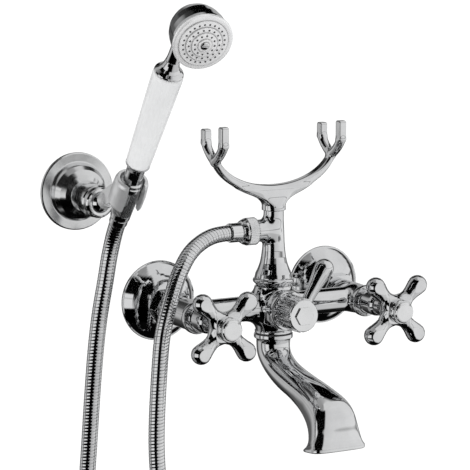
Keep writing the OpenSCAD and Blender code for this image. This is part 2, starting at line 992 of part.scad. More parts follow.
module grip() {
    color(ceramic_colour)
        shower_axis()
            difference() {
                turned([
                    [0, grip_foot], [grip_foot_r - 0.8, grip_foot], [grip_foot_r - 0.1, grip_foot + 0.8],
                    [grip_foot_r + 0.3, grip_foot + 6],
                    [(grip_foot_r + grip_top_r) / 2 + 0.3, grip_foot + grip_len / 2],
                    [grip_top_r, grip_top - 8], [grip_top_r, grip_top - 2],
                    [grip_top_r - 0.7, grip_top - 0.6],
                    [grip_top_r - 1.4, grip_top], [0, grip_top]
                ]);
                rod(5.3, grip_foot - 1, grip_top + 1);
            }
}

module upper_collar() {
    color(chrome_colour)
        shower_axis()
            difference() {
                turned([
                    [0, grip_top], [10.4, grip_top], [10.7, grip_top + 0.8], [10.2, grip_top + 1.8],
                    [8, grip_top + 3.4], [6.6, grip_top + 5.6], [5.7, grip_top + 8.4],
                    [5.2, grip_top + 11], [0, grip_top + 11]
                ]);
                rod(5 + fit, grip_top - 1, grip_top + 4);
                rod(3.6, grip_top + 3, grip_top + 6);
                rod(4, grip_top + 5, grip_top + 12);
            }
}

module shower_head() {
    color(chrome_colour)
        difference() {
            union() {
                shower_axis()
                    turned([
                        [0, grip_top + 5.5], [4 - fit, grip_top + 5.5], [4 - fit, grip_top + 11],
                        [5, grip_top + 11], [4.6, grip_top + 16], [4.4, elbow_up - 8], [4.5, elbow_up],
                        [0, elbow_up]
                    ]);
                neck_elbow(4.5, 25);
                face_axis()
                    turned([
                        [0, -3], [face_r - 0.6, -3], [face_r - 0.5, -6], [face_r - 1, -12],
                        [face_r - 2, -18], [face_r - 3.6, -22.5], [face_r - 6.4, -27], [face_r - 10, -30.5],
                        [face_r - 14.5, -33.2], [3, -34.3], [0, -34.5]
                    ]);
            }
            face_axis()
                turned([
                    [0, -2], [face_r - 2.2, -2], [face_r - 2.2, -6], [face_r - 2.8, -12],
                    [face_r - 4, -17.6], [face_r - 6, -22], [face_r - 9, -26], [face_r - 13, -29.3],
                    [4, -31], [0, -31.2]
                ]);
            shower_axis()
                rod(2.8, grip_top + 4, elbow_up);
            neck_elbow(2.8, 28);
        }
}

module neck_elbow(r, reach) {
    head_axis()
        translate([0, 0, elbow_up]) {
            sphere(r = r + 0.3);
            rotate([neck_bend, 0, 0])
                cylinder(r = r, h = reach);
        }
}

module hole_ring(count, r) {
    for (k = [0 : count - 1])
        rotate([0, 0, 360 * k / count])
            translate([r, 0, -5])
                cylinder(r = 0.5, h = 10, $fn = 16);
}

module spray_plate() {
    step = plate_rise / 4;
    color(bright_colour)
        face_axis()
            difference() {
                turned([
                    [0, -3], [face_r, -3], [face_r + 0.2, -2], [face_r, -0.6], [face_r - 1, 0],
                    [17.4, 0.1], [17, step], [12.9, step + 0.1], [12.5, 2 * step], [9.2, 2 * step + 0.1],
                    [8.8, 3 * step], [5, 3 * step + 0.1], [4.6, 4 * step - 0.1], [0, 4 * step]
                ]);
                hole_ring(outer_holes, face_r * 0.7);
                hole_ring(17, face_r * 0.52);
                hole_ring(12, face_r * 0.34);
                rod(1.55, -4, plate_rise + 1);
                turned([
                    [0, -4], [15, -4], [15, -1.2], [11, -0.2], [7, 0.8], [3.4, 1.8], [0, 1.8]
                ]);
            }
}

module spray_screw() {
    color(bright_colour)
        face_axis()
            difference() {
                union() {
                    rod(1.5, -9, plate_rise + 0.1);
                    turned([
                        [0, plate_rise], [3, plate_rise], [3, plate_rise + 0.3],
                        [2.2, plate_rise + 0.9], [0, plate_rise + 1.1]
                    ]);
                }
                translate([-4, -0.4, plate_rise + 0.6])
                    cube([8, 0.8, 2]);
            }
}

// ---------- wall holder ----------
module bracket_plate() {
    color(brass_colour)
        holder_axis()
            difference() {
                union() {
                    rod(19.6, 0, 2.4);
                    rotate([holder_dip, 0, 0])
                        rod(8, 0.8, 14);
                }
                for (end = [-1, 1])
                    translate([0, end * 14, -1])
                        cylinder(r = 2.3, h = 6);
                rotate([holder_dip, 0, 0])
                    rod(4 + fit, 6, 15);
            }
}

module bracket_screws() {
    color(bright_colour)
        holder_axis()
            for (end = [-1, 1])
                translate([0, end * 14, 0])
                    difference() {
                        turned([
                            [0, -26], [0.6, -26], [2.1, -22], [2.1, 0], [1.9, 0], [1.9, 2.4], [4, 2.4],
                            [3.6, 4.4], [2, 5.2], [0, 5.2]
                        ]);
                        translate([0, 0, 4])
                            cylinder(r = 1.6, h = 3, $fn = 6);
                    }
}

module bracket_flange() {
    color(chrome_colour)
        difference() {
            union() {
                holder_axis()
                    turned([
                        [0, 0], [holder_flange_r - 1.2, 0], [holder_flange_r, 0.9],
                        [holder_flange_r - 0.2, 2.8], [holder_flange_r - 1, 3.4], [23.4, 3.9], [0, 3.9]
                    ]);
                socket_axis()
                    turned([
                        [0, 1], [22.6, 2], [22.6, 4.4], [21.4, 8.6], [19, 12.6], [15.6, 15.8], [12, 17.8],
                        [9.3, 18.4], [0, 18.4]
                    ]);
            }
            holder_axis()
                turned([[0, -1], [27.6, -1], [27, 2], [20.6, 2.4], [0, 2.4]]);
            socket_axis()
                turned([
                    [0, 0], [20.8, 0], [21, 4.2], [19.9, 8.2], [17.6, 11.8], [14.6, 14.6], [11.4, 16.4],
                    [9.3, 17], [9.3, 20], [0, 20]
                ]);
        }
}

module ball_socket() {
    color(chrome_colour)
        socket_axis()
            difference() {
                union() {
                    rod(4, 7, 15);
                    rod(9.2, 14, 26);
                    rod(10.2, 25, 37);
                }
                rod(9 + fit, 33, 38);
            }
}

module ball_seat() {
    color(plastic_colour)
        socket_axis()
            difference() {
                rod(9, 33, 41);
                translate([0, 0, ball_out])
                    sphere(r = ball_r + 0.3);
            }
}

module locking_ring() {
    color(bright_colour)
        socket_axis()
            difference() {
                turned([
                    [0, ring_back], [11.6, ring_back], [12.3, ring_back + 0.8], [12.3, ring_front - 7.5],
                    [11.6, ring_front - 6.2], [11.6, ring_front - 2], [10.8, ring_front - 0.6],
                    [9.4, ring_front], [0, ring_front]
                ]);
                rod(10.2 + fit, ring_back - 1, 41.3);
                translate([0, 0, ball_out])
                    sphere(r = ball_r + 0.3);
                rod(7.3, 41, ring_front + 1);
            }
}

module arm_axis() {
    translate([-holder_x, ball_y, ball_z])
        rotate([90 - arm_rise, 0, 0])
            children();
}

module holder_ball() {
    color(bright_colour)
        arm_axis() {
            sphere(r = ball_r);
            turned([[0, 4], [4.2, 4], [4.2, 15], [0, 15]]);
        }
}

module holder_clip() {
    clip_mid = (clip_foot + clip_top) / 2;
    color(chrome_colour)
        difference() {
            union() {
                shower_axis()
                    turned([
                        [0, clip_foot], [11.6, clip_foot], [12.8, clip_foot + 2], [13.2, clip_mid],
                        [12.6, clip_top - 3], [11.8, clip_top - 0.8], [11, clip_top], [0, clip_top]
                    ]);
                arm_axis()
                    turned([[0, 9], [5.6, 9], [6.4, 10.5], [6.4, 18], [0, 18]]);
                translate([-holder_x - 4, 0, 0])
                    rotate([90, 0, 90])
                        linear_extrude(height = 8)
                            polygon([
                                [ball_y - 15, ball_z + 1], [ball_y - 13, ball_z + 11],
                                [clip_y + 1, clip_z + 11], [clip_y + 10, clip_z - 8.5]
                            ]);
            }
            shower_axis()
                turned([
                    [0, clip_foot - 9], [8.6, clip_foot - 9], [8.6, clip_foot - 1], [9.4, clip_top + 1],
                    [0, clip_top + 1]
                ]);
            shower_axis()
                translate([-6.7, -20, clip_foot - 2])
                    cube([13.4, 20, clip_top - clip_foot + 4]);
            arm_axis()
                rod(4.2 + fit, 8, 15.2);
        }
}

s_unions();
wall_flanges();
union_nuts();
union_washers();
body_casting();
headworks();
seat_discs();
bonnets();
spindle_hot();
spindle_cold();
disc_hot();
disc_cold();
handle_hot();
handle_cold();
handle_screw_hot();
handle_screw_cold();
index_cap_hot();
index_cap_cold();
diverter_cartridge();
diverter_bonnet();
diverter_spindle();
diverter_lever();
diverter_cap();
pillar();
cradle_stud();
cradle();
spout_nipple();
spout_seal();
spout();
hose_washer();
hose_nut();
hose_ferrule();
hose_loop();
hose_riser();
hose_tail();
tail_ferrule();
cone_nut();
cone_washer();
lower_collar();
handset_tube();
grip();
upper_collar();
shower_head();
spray_plate();
spray_screw();
bracket_plate();
bracket_screws();
bracket_flange();
ball_socket();
ball_seat();
locking_ring();
holder_ball();
holder_clip();
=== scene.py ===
"""Wall mounted bath mixer with a telephone cradle, hand shower, metal hose and wall holder."""
import json
import math

import bpy
import numpy as np
from mathutils import Matrix, Vector


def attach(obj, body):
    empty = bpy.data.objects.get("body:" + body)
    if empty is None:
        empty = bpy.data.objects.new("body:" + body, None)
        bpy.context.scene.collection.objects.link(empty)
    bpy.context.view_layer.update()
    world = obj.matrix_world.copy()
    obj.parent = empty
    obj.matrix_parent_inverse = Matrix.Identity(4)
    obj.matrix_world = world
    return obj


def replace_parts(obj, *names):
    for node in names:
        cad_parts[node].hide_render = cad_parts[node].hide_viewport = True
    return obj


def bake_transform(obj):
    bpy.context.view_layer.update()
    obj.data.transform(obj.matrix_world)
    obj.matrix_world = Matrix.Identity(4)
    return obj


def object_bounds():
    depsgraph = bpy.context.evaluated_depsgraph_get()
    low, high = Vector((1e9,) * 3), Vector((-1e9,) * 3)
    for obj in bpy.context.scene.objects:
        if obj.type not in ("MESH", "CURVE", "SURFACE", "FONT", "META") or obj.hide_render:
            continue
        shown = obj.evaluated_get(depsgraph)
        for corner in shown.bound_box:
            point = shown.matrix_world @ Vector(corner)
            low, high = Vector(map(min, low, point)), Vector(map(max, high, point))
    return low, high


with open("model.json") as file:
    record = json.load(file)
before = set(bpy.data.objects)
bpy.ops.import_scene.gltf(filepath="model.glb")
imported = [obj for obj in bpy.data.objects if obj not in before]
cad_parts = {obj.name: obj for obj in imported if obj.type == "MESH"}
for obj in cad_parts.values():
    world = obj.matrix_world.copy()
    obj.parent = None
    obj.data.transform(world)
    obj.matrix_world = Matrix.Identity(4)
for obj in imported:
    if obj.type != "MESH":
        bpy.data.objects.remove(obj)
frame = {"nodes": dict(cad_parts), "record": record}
CAD_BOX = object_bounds()
NODES = frame["nodes"]
MM = 0.001
FLOOR_Z = CAD_BOX[0][2] - 0.006

# the camera: where it looks from, what it looks at (metres) and its lens (mm)
VIEW_AZIMUTH, VIEW_ELEVATION = math.radians(-28.2), math.radians(9.0)
VIEW_TARGET = Vector((-0.0325, -0.05, 0.0556))
VIEW_DISTANCE = 1.731
VIEW_LENS, VIEW_SENSOR = 171.6, 36

# sizes in millimetres that several pieces share
BODY_OUT, BODY_UP = -53, -2.5
TAP_X = 75
OUTLET_UP = 58.0


# ---------- camera ----------
def aim_camera():
    azimuth, elevation = VIEW_AZIMUTH, VIEW_ELEVATION
    back = Vector(
        (
            math.sin(azimuth) * math.cos(elevation),
            -math.cos(azimuth) * math.cos(elevation),
            math.sin(elevation),
        )
    )
    right = Vector((math.cos(azimuth), math.sin(azimuth), 0))
    up = back.cross(right)
    data = bpy.data.cameras.new("camera")
    data.sensor_width = VIEW_SENSOR
    data.lens = VIEW_LENS
    data.clip_end = 20
    camera = bpy.data.objects.new("camera", data)
    turned = Matrix((right, up, back)).transposed().to_4x4()
    camera.matrix_world = Matrix.Translation(VIEW_TARGET + back * VIEW_DISTANCE) @ turned
    bpy.context.scene.collection.objects.link(camera)
    bpy.context.scene.camera = camera


aim_camera()


# ---------- geometry helpers ----------
def add_mesh(name, verts, faces, material, body, sharp=35):
    """A smooth shaded mesh piece. verts are in millimetres in the row frame."""
    mesh = bpy.data.meshes.new(name)
    mesh.from_pydata((np.asarray(verts, float) * MM).tolist(), [], faces)
    mesh.validate()
    mesh.shade_smooth()
    mesh.set_sharp_from_angle(angle=math.radians(sharp))
    mesh.materials.append(material)
    piece = bpy.data.objects.new(name, mesh)
    bpy.context.scene.collection.objects.link(piece)
    if body:
        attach(piece, body)
    return piece


def place(points, origin, x_axis, y_axis, z_axis):
    """Local millimetre points to the row frame."""
    basis = np.array([x_axis, y_axis, z_axis], float)
    return np.asarray(points, float) @ basis + np.asarray(origin, float)


def grid_faces(rows, cols):
    """Quads between neighbouring rings of points."""
    faces = []
    for i in range(rows - 1):
        a, b = i * cols, (i + 1) * cols
        for k in range(cols):
            n = (k + 1) % cols
            faces.append((a + k, a + n, b + n, b + k))
    return faces


def lathe(profile, sides, radius_at=None):
    """Points and faces of a closed profile [(r, z), ...] turned about local z."""
    angles = np.linspace(0, 2 * math.pi, sides, endpoint=False)
    verts = []
    for r, z in profile:
        radii = np.full(sides, float(r)) if radius_at is None else radius_at(r, z, angles)
        verts.append(np.c_[radii * np.cos(angles), radii * np.sin(angles), np.full(sides, float(z))])
    faces = []
    for i in range(len(profile)):
        a, b = i * sides, ((i + 1) % len(profile)) * sides
        for k in range(sides):
            n = (k + 1) % sides
            faces.append((a + k, a + n, b + n, b + k))
    return np.vstack(verts), faces


def refine(profile, step):
    """Extra points along a profile so that a pattern can be cut into it."""
    out = []
    for (r0, z0), (r1, z1) in zip(profile, profile[1:]):
        count = max(1, int(math.hypot(r1 - r0, z1 - z0) / step))
        out += [(r0 + (r1 - r0) * i / count, z0 + (z1 - z0) * i / count) for i in range(count)]
    return out + [profile[-1]]


def smooth_step(x, low, high):
    """0 below low, 1 above high, and an eased step between them."""
    t = np.clip((np.asarray(x, float) - low) / (high - low), 0, 1)
    return t * t * (3 - 2 * t)


# ---------- smooth castings: signed distance fields turned into meshes ----------
def blend_in(a, b, k):
    """Union of two distance fields with a fillet of size k."""
    h = np.maximum(k - np.abs(a - b), 0) / k
    return np.minimum(a, b) - h * h * k / 4


def cut_out(a, b, k=0.8):
    """Field a with field b taken away, the edge rounded by k."""
    return -blend_in(-a, b, k)


def polygon_field(points, outline):
    """Signed distance of 2-D points to a closed outline."""
    outline = np.asarray(outline, float)
    near = np.full(len(points), np.inf)
    sign = np.ones(len(points))
    for a, b in zip(outline, np.roll(outline, 1, axis=0)):
        edge, w = b - a, points - a
        t = np.clip(w @ edge / (edge @ edge), 0, 1)
        rest = w - t[:, None] * edge
        near = np.minimum(near, (rest**2).sum(1))
        above, below = points[:, 1] >= a[1], points[:, 1] < b[1]
        left = edge[0] * w[:, 1] > edge[1] * w[:, 0]
        flip = (above & below & left) | (~above & ~below & ~left)
        sign[flip] *= -1
    return sign * np.sqrt(near)


def turned_field(p, outline, axis=2, centre=(0, 0, 0)):
    """Field of an outline [(r, height), ...] turned about a local axis."""
    q = p - np.asarray(centre, float)
    across = np.delete(q, axis, axis=1)
    return polygon_field(np.c_[np.hypot(across[:, 0], across[:, 1]), q[:, axis]], outline)


def rod_field(p, start, end, radii):
    """Field of a round bar whose radius follows radii [(distance, r), ...] and whose end is a ball."""
    start, end = np.asarray(start, float), np.asarray(end, float)
    length = np.linalg.norm(end - start)
    along = (p - start) @ ((end - start) / length)
    held = np.clip(along, 0, length)
    axis_point = start + held[:, None] * (end - start) / length
    places, values = zip(*radii)
    return np.linalg.norm(p - axis_point, axis=1) - np.interp(held, places, values)


def rounded_bar_field(p, centre, half, rounding):
    """Field of a box of the given half sizes with rounded edges."""
    q = np.abs(p - np.asarray(centre, float)) - np.asarray(half, float) + rounding
    return np.linalg.norm(np.maximum(q, 0), axis=1) + np.minimum(q.max(axis=1), 0) - rounding


def sample_field(field, low, count, step, block=6):
    """Field values on a grid, worked out only in the blocks near the surface."""
    blocks = [int(math.ceil(n / block)) for n in count]
    corners = np.stack(np.meshgrid(*(np.arange(n) for n in blocks), indexing="ij"), -1).reshape(-1, 3)
    middle = field(low + (corners * block + (block - 1) / 2) * step).reshape(blocks)

    def spread(values):
        for axis in range(3):
            values = np.repeat(values, block, axis=axis)
        return values[: count[0], : count[1], : count[2]]

    values = spread(np.where(middle < 0, -99.0, 99.0)).copy()
    near = spread(np.abs(middle) < block * step + 1.5)
    values[near] = field(low + np.argwhere(near) * step)
    return values


def field_slope(field, p, reach=0.02):
    """Gradient of the field at the points."""
    slope = np.empty_like(p)
    for axis in range(3):
        shift = np.zeros(3)
        shift[axis] = reach
        slope[:, axis] = (field(p + shift) - field(p - shift)) / (2 * reach)
    return slope


def field_surface(field, low, high, step):
    """Quads and smooth normals of the surface where the field is zero (surface nets, then relaxed onto it)."""
    low, high = np.asarray(low, float), np.asarray(high, float)
    count = [int(n) + 2 for n in (high - low) / step]
    values = sample_field(field, low, count, step)
    inside = values < 0
    cells = tuple(n - 1 for n in count)
    total, crossings, filled = np.zeros((*cells, 3)), np.zeros(cells), np.zeros(cells, int)

    def corner(array, offset):
        return array[tuple(slice(o, o + n) for o, n in zip(offset, cells))]

    offsets = [(i, j, k) for i in (0, 1) for j in (0, 1) for k in (0, 1)]
    for a in offsets:
        filled += corner(inside, a)
        for axis in range(3):
            if a[axis]:
                continue
            b = tuple(1 if n == axis else a[n] for n in range(3))
            va, vb = corner(values, a), corner(values, b)
            crossed = corner(inside, a) != corner(inside, b)
            t = np.where(crossed, va / np.where(crossed, va - vb, 1), 0)
            for n in range(3):
                total[..., n] += crossed * (a[n] + (t if n == axis else 0))
            crossings += crossed
    active = (filled > 0) & (filled < 8)
    number = np.full(cells, -1)
    number[active] = np.arange(active.sum())
    verts = low + (np.argwhere(active) + total[active] / crossings[active][:, None]) * step
    faces = []
    for axis in range(3):
        u, v = (axis + 1) % 3, (axis + 2) % 3
        here = [slice(1, n - 1) for n in count]
        here[axis] = slice(0, count[axis] - 1)
        there = list(here)
        there[axis] = slice(1, count[axis])
        start, end = inside[tuple(here)], inside[tuple(there)]
        at = np.argwhere(start != end) + [0 if n == axis else 1 for n in range(3)]
        around = np.empty((len(at), 4), int)
        for n, (du, dv) in enumerate(((-1, -1), (0, -1), (0, 0), (-1, 0))):
            cell = at.copy()
            cell[:, u] += du
            cell[:, v] += dv
            around[:, n] = number[tuple(cell.T)]
        faces.append(np.where(inside[tuple(at.T)][:, None], around, around[:, ::-1]))
    quads = np.vstack(faces)
    for _ in range(3):
        mean, share = np.zeros_like(verts), np.zeros(len(verts))
        centre = verts[quads].mean(axis=1)
        for n in range(4):
            np.add.at(mean, quads[:, n], centre)
            np.add.at(share, quads[:, n], 1)
        verts = mean / share[:, None]
        for _ in range(2):
            slope = field_slope(field, verts)
            verts = verts - (field(verts) / np.maximum((slope**2).sum(1), 0.2))[:, None] * slope
    slope = field_slope(field, verts, 0.25)
    return verts, quads.tolist(), slope / np.linalg.norm(slope, axis=1)[:, None]


def cast_piece(name, surface, axes, body):
    """A chrome casting from a surface in local millimetres; axes places it in the row frame."""
    verts, faces, normals = surface
    piece = add_mesh(name, axes(verts), faces, CAST, None, sharp=180)
    turned = axes(normals) - axes(np.zeros((1, 3)))
    piece.data.normals_split_custom_set_from_vertices(turned.tolist())
    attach(piece, body)
    return piece


# axes of the assembly
LEAN = math.radians(36)
SHOWER_DIR = np.array([0, -math.sin(LEAN), math.cos(LEAN)])
SHOWER_FOOT = np.array([-144, -78.5, 81.5])
SHOWER_OUT = np.array([0, -math.cos(LEAN), -math.sin(LEAN)])
GRIP_FOOT, GRIP_TOP = 53.5, 139.0
BODY_AXIS = np.array([0, BODY_OUT, BODY_UP])
OUTLET = np.array([0, BODY_OUT, OUTLET_UP])


def shower_place(points):
    """Local axes of the hand shower: z along its grip from the foot up, y towards its back."""
    return place(points, SHOWER_FOOT, (1, 0, 0), -SHOWER_OUT, SHOWER_DIR)


def hose_place(points):
    """Local axes of the hose outlet: z out of the pillar to the left."""
    return place(points, OUTLET, (0, 0, 1), (0, 1, 0), (-1, 0, 0))


def body_place(points):
    """Local axes of the mixer body: the row frame's directions, from the body's centre."""
    return np.asarray(points, float) + BODY_AXIS


def out_place(x):
    """Local axes of a valve: x right, y up, z out from the wall."""
    return lambda points: place(points, (x, 0, BODY_UP), (1, 0, 0), (0, 0, 1), (0, -1, 0))


# ---------- materials ----------
def node_material(name):
    """A new material with its node tree and shader."""
    material = bpy.data.materials.new(name)
    material.use_nodes = True
    tree = material.node_tree
    shader = tree.nodes["Principled BSDF"]
    return material, tree, shader


def add_node(tree, kind, **values):
    """A new node; in_ values go to its sockets and the others to its settings."""
    node = tree.nodes.new(kind)
    for key, value in values.items():
        if key.startswith("in_"):
            node.inputs[key[3:].replace("_", " ")].default_value = value
        else:
            setattr(node, key, value)
    return node


def ramp(tree, source, stops):
    """Colour or grey stops [(position, value), ...] driven by a source socket."""
    node = tree.nodes.new("ShaderNodeValToRGB")
    elements = node.color_ramp.elements
    while len(elements) < len(stops):
        elements.new(0.5)
    for element, (position, value) in zip(elements, stops):
        element.position = position
        element.color = (value, value, value, 1) if isinstance(value, (int, float)) else (*value, 1)
    tree.links.new(source, node.inputs["Fac"])
    return node.outputs["Color"]


def polished(name, low, high, roughness, ripple=0.03, edge=0.5, speck=0.0):
    """Plated metal: faint staining in the colour, uneven polish and a slight waviness left by the buffing wheel."""
    material, tree, shader = node_material(name)
    link = tree.links.new
    where = add_node(tree, "ShaderNodeTexCoord").outputs["Object"]
    stain = add_node(tree, "ShaderNodeTexNoise", in_Scale=60, in_Detail=4, in_Roughness=0.6)
    link(where, stain.inputs["Vector"])
    link(ramp(tree, stain.outputs["Fac"], [(0.3, low), (0.7, high)]), shader.inputs["Base Color"])
    wear = add_node(tree, "ShaderNodeTexNoise", in_Scale=240, in_Detail=5, in_Roughness=0.65)
    link(where, wear.inputs["Vector"])
    gloss = add_node(tree, "ShaderNodeMapRange", in_From_Min=0.3, in_From_Max=0.75)
    gloss.inputs["To Min"].default_value = roughness
    gloss.inputs["To Max"].default_value = roughness + 0.05 + speck
    link(wear.outputs["Fac"], gloss.inputs["Value"])
    link(gloss.outputs["Result"], shader.inputs["Roughness"])
    shader.inputs["Metallic"].default_value = 1
    wave = add_node(tree, "ShaderNodeTexNoise", in_Scale=45, in_Detail=1, in_Roughness=0.4)
    link(where, wave.inputs["Vector"])
    bump = add_node(tree, "ShaderNodeBump", in_Strength=ripple, in_Distance=0.002)
    link(wave.outputs["Fac"], bump.inputs["Height"])
    if edge:
        rounded = add_node(tree, "ShaderNodeBevel", samples=6)
        rounded.inputs["Radius"].default_value = edge * MM
        link(rounded.outputs["Normal"], bump.inputs["Normal"])
    link(bump.outputs["Normal"], shader.inputs["Normal"])
    return material


def soft_surface(name, low, high, roughness, scale, bump_strength, coat=0.0):
    """Glaze, rubber or plastic: mottled colour, uneven gloss and a fine grain."""
    material, tree, shader = node_material(name)
    link = tree.links.new
    where = add_node(tree, "ShaderNodeTexCoord").outputs["Object"]
    grain = add_node(tree, "ShaderNodeTexNoise", in_Scale=scale, in_Detail=5, in_Roughness=0.6)
    link(where, grain.inputs["Vector"])
    link(ramp(tree, grain.outputs["Fac"], [(0.3, low), (0.7, high)]), shader.inputs["Base Color"])
    gloss = add_node(tree, "ShaderNodeMapRange", in_From_Min=0.3, in_From_Max=0.7)
    gloss.inputs["To Min"].default_value = roughness
    gloss.inputs["To Max"].default_value = roughness + 0.12
    link(grain.outputs["Fac"], gloss.inputs["Value"])
    link(gloss.outputs["Result"], shader.inputs["Roughness"])
    shader.inputs["Coat Weight"].default_value = coat
    shader.inputs["Coat Roughness"].default_value = 0.04
    bump = add_node(tree, "ShaderNodeBump", in_Strength=bump_strength, in_Distance=0.0005)
    link(grain.outputs["Fac"], bump.inputs["Height"])
    link(bump.outputs["Normal"], shader.inputs["Normal"])
    return material


CHROME = polished("chrome", (0.72, 0.725, 0.735), (0.82, 0.825, 0.83), 0.03)
CAST = polished("cast_chrome", (0.72, 0.725, 0.735), (0.82, 0.825, 0.83), 0.03, edge=0)
SATIN = polished("satin_chrome", (0.7, 0.705, 0.71), (0.8, 0.805, 0.81), 0.12, edge=0.4)
FACE = polished("spray_face_chrome", (0.86, 0.86, 0.87), (0.92, 0.92, 0.92), 0.16, edge=0.2)
FACE.node_tree.nodes["Principled BSDF"].inputs["Metallic"].default_value = 0.45
CLIP = polished("blasted_chrome", (0.74, 0.745, 0.75), (0.86, 0.865, 0.87), 0.28, edge=0.4)
CLIP.node_tree.nodes["Principled BSDF"].inputs["Metallic"].default_value = 0.7


def paint_corner_shade(material, reach):
    """Painted shade: darkens the base colour in the inner corners of a stepped face, where shade falls."""
    tree = material.node_tree
    shader = tree.nodes["Principled BSDF"]
    base = shader.inputs["Base Color"].links[0].from_socket
    # ambient occlusion drives a near-black multiply on the base colour: painted shade in the step corners
    corner = add_node(tree, "ShaderNodeAmbientOcclusion", samples=12)
    corner.inputs["Distance"].default_value = reach * MM
    mix = add_node(tree, "ShaderNodeMix", data_type="RGBA", blend_type="MULTIPLY")
    mix.inputs["Factor"].default_value = 1
    tree.links.new(base, mix.inputs["A"])
    tree.links.new(ramp(tree, corner.outputs["AO"], [(0.62, 0.06), (0.93, 1.0)]), mix.inputs["B"])
    tree.links.new(mix.outputs["Result"], shader.inputs["Base Color"])


# painted shade in the corners of the spray plate's steps
paint_corner_shade(FACE, 1.8)
BRIGHT = polished("bright_chrome", (0.8, 0.805, 0.81), (0.88, 0.885, 0.89), 0.06, edge=0.35)
HOSE = polished("hose_chrome", (0.7, 0.705, 0.715), (0.84, 0.845, 0.85), 0.05, edge=0, speck=0.03)
BRASS = polished("machined_brass", (0.62, 0.45, 0.2), (0.8, 0.62, 0.32), 0.22, edge=0.2)
RUBBER = soft_surface("black_rubber", (0.02, 0.02, 0.021), (0.05, 0.05, 0.052), 0.6, 500, 0.3)
# near-black for the hose's groove bottoms: partly the dark inner hose showing through, partly painted shade between
# the windings
SEAM_SHADE = soft_surface("hose_seam_painted_shade", (0.01, 0.01, 0.01), (0.035, 0.035, 0.036), 0.5, 600, 0.2)
CERAMIC = soft_surface("valve_ceramic", (0.8, 0.79, 0.75), (0.9, 0.89, 0.86), 0.35, 300, 0.1)
PORCELAIN = soft_surface("white_glaze", (0.7, 0.705, 0.71), (0.78, 0.785, 0.79), 0.2, 40, 0.04, coat=0.15)
PORCELAIN.node_tree.nodes["Principled BSDF"].inputs["Specular IOR Level"].default_value = 0.25
PLASTIC = soft_surface("dark_plastic", (0.08, 0.08, 0.085), (0.14, 0.14, 0.145), 0.4, 400, 0.2)
SLOTS = {
    "chrome": CHROME,
    "bright_chrome": BRIGHT,
    "hose_chrome": HOSE,
    "brass": BRASS,
    "rubber": RUBBER,
    "ceramic": CERAMIC,
    "porcelain": PORCELAIN,
    "plastic": PLASTIC,
}

FINISHES = {
    "spray_plate": FACE, "bracket_flange": SATIN, "ball_socket": SATIN, "lower_collar": SATIN, "spindle_hot": BRIGHT,
    "spindle_cold": BRIGHT, "diverter_spindle": BRIGHT, "headworks": BRIGHT, "holder_clip": CLIP,
}


def paint_frame():
    for part in frame["record"]["subparts"]:
        node = NODES[part["node"]]
        node.data.materials.clear()
        node.data.materials.append(FINISHES.get(part["node"], SLOTS[part["material_slot"]]))


paint_frame()


# ---------- hose ----------
# the route in millimetres: from the outlet round the loop, up the riser, and up to the hand shower
LOOP = [
    (-41, -53, 58), (-53, -54, 57), (-65, -56, 53), (-76, -59, 46), (-84, -62, 37), (-90, -64, 27),
    (-95, -66, 16), (-99, -67, 5), (-103, -67, -10), (-106, -67, -34), (-108, -66, -70), (-108, -65, -110),
    (-104, -67, -155), (-97, -70, -205), (-88, -74, -260), (-82, -77, -315), (-79, -79, -365),
    (-78, -78, -410), (-84, -75, -436), (-102, -66, -455), (-127, -53, -462), (-152, -40, -455),
    (-170, -30, -436), (-176, -26, -410), (-177, -24, -365), (-174, -25, -320), (-169, -28, -270),
]
RISER = [(-163, -31, -220), (-158, -35, -170), (-155, -40, -120), (-154, -46, -72)]
TOP = [
    (-153, -52, -28), (-150.5, -57.5, 10), (-147.5, -61, 34), (-145.5, -62.6, 49), (-144.4, -64.6, 58),
    (-144, -67.6, 65.4), tuple(SHOWER_FOOT - 12 * SHOWER_DIR), tuple(SHOWER_FOOT - 5 * SHOWER_DIR),
]
HOSE_R = 6.2
HOSE_PITCH = 5.2
HOSE_SIDES = 20
# groove rows deeper than this get the near-black painted shade material
SEAM_SHADE_DEPTH = 0.2
# one turn of the strip: (part of the pitch, growth of the radius); its two grooves are the seams, their bottoms
# painted near-black as shade between the windings
RING_SHAPE = [
    (0.0, -0.4), (0.05, -0.4), (0.055, -0.05), (0.13, 0.0), (0.3, 0.02), (0.45, 0.0), (0.495, -0.05), (0.5, -0.3),
    (0.525, -0.3), (0.53, -0.05), (0.61, 0.0), (0.78, 0.02), (0.93, 0.0), (0.99, -0.05),
]


def spline(points):
    """Natural cubic spline through the points, as arc positions and dense samples."""
    p = np.array(points, float)
    t = np.r_[0, np.cumsum(np.linalg.norm(np.diff(p, axis=0), axis=1))]
    n = len(t)
    h = np.diff(t)
    system = np.zeros((n, n))
    right = np.zeros((n, 3))
    system[0, 0] = system[-1, -1] = 1
    for i in range(1, n - 1):
        system[i, i - 1 : i + 2] = h[i - 1], 2 * (h[i - 1] + h[i]), h[i]
        right[i] = 6 * ((p[i + 1] - p[i]) / h[i] - (p[i] - p[i - 1]) / h[i - 1])
    m = np.linalg.solve(system, right)
    u = np.linspace(0, t[-1], int(t[-1] * 2) + 1)
    k = np.clip(np.searchsorted(t, u, side="right") - 1, 0, n - 2)
    a, b, d = (t[k + 1] - u)[:, None], (u - t[k])[:, None], h[k][:, None]
    q = m[k] * a**3 / (6 * d) + m[k + 1] * b**3 / (6 * d)
    q += (p[k] / d - m[k] * d / 6) * a + (p[k + 1] / d - m[k + 1] * d / 6) * b
    s = np.r_[0, np.cumsum(np.linalg.norm(np.diff(q, axis=0), axis=1))]
    return s, q, [float(s[np.argmin(np.linalg.norm(q - x, axis=1))]) for x in p]


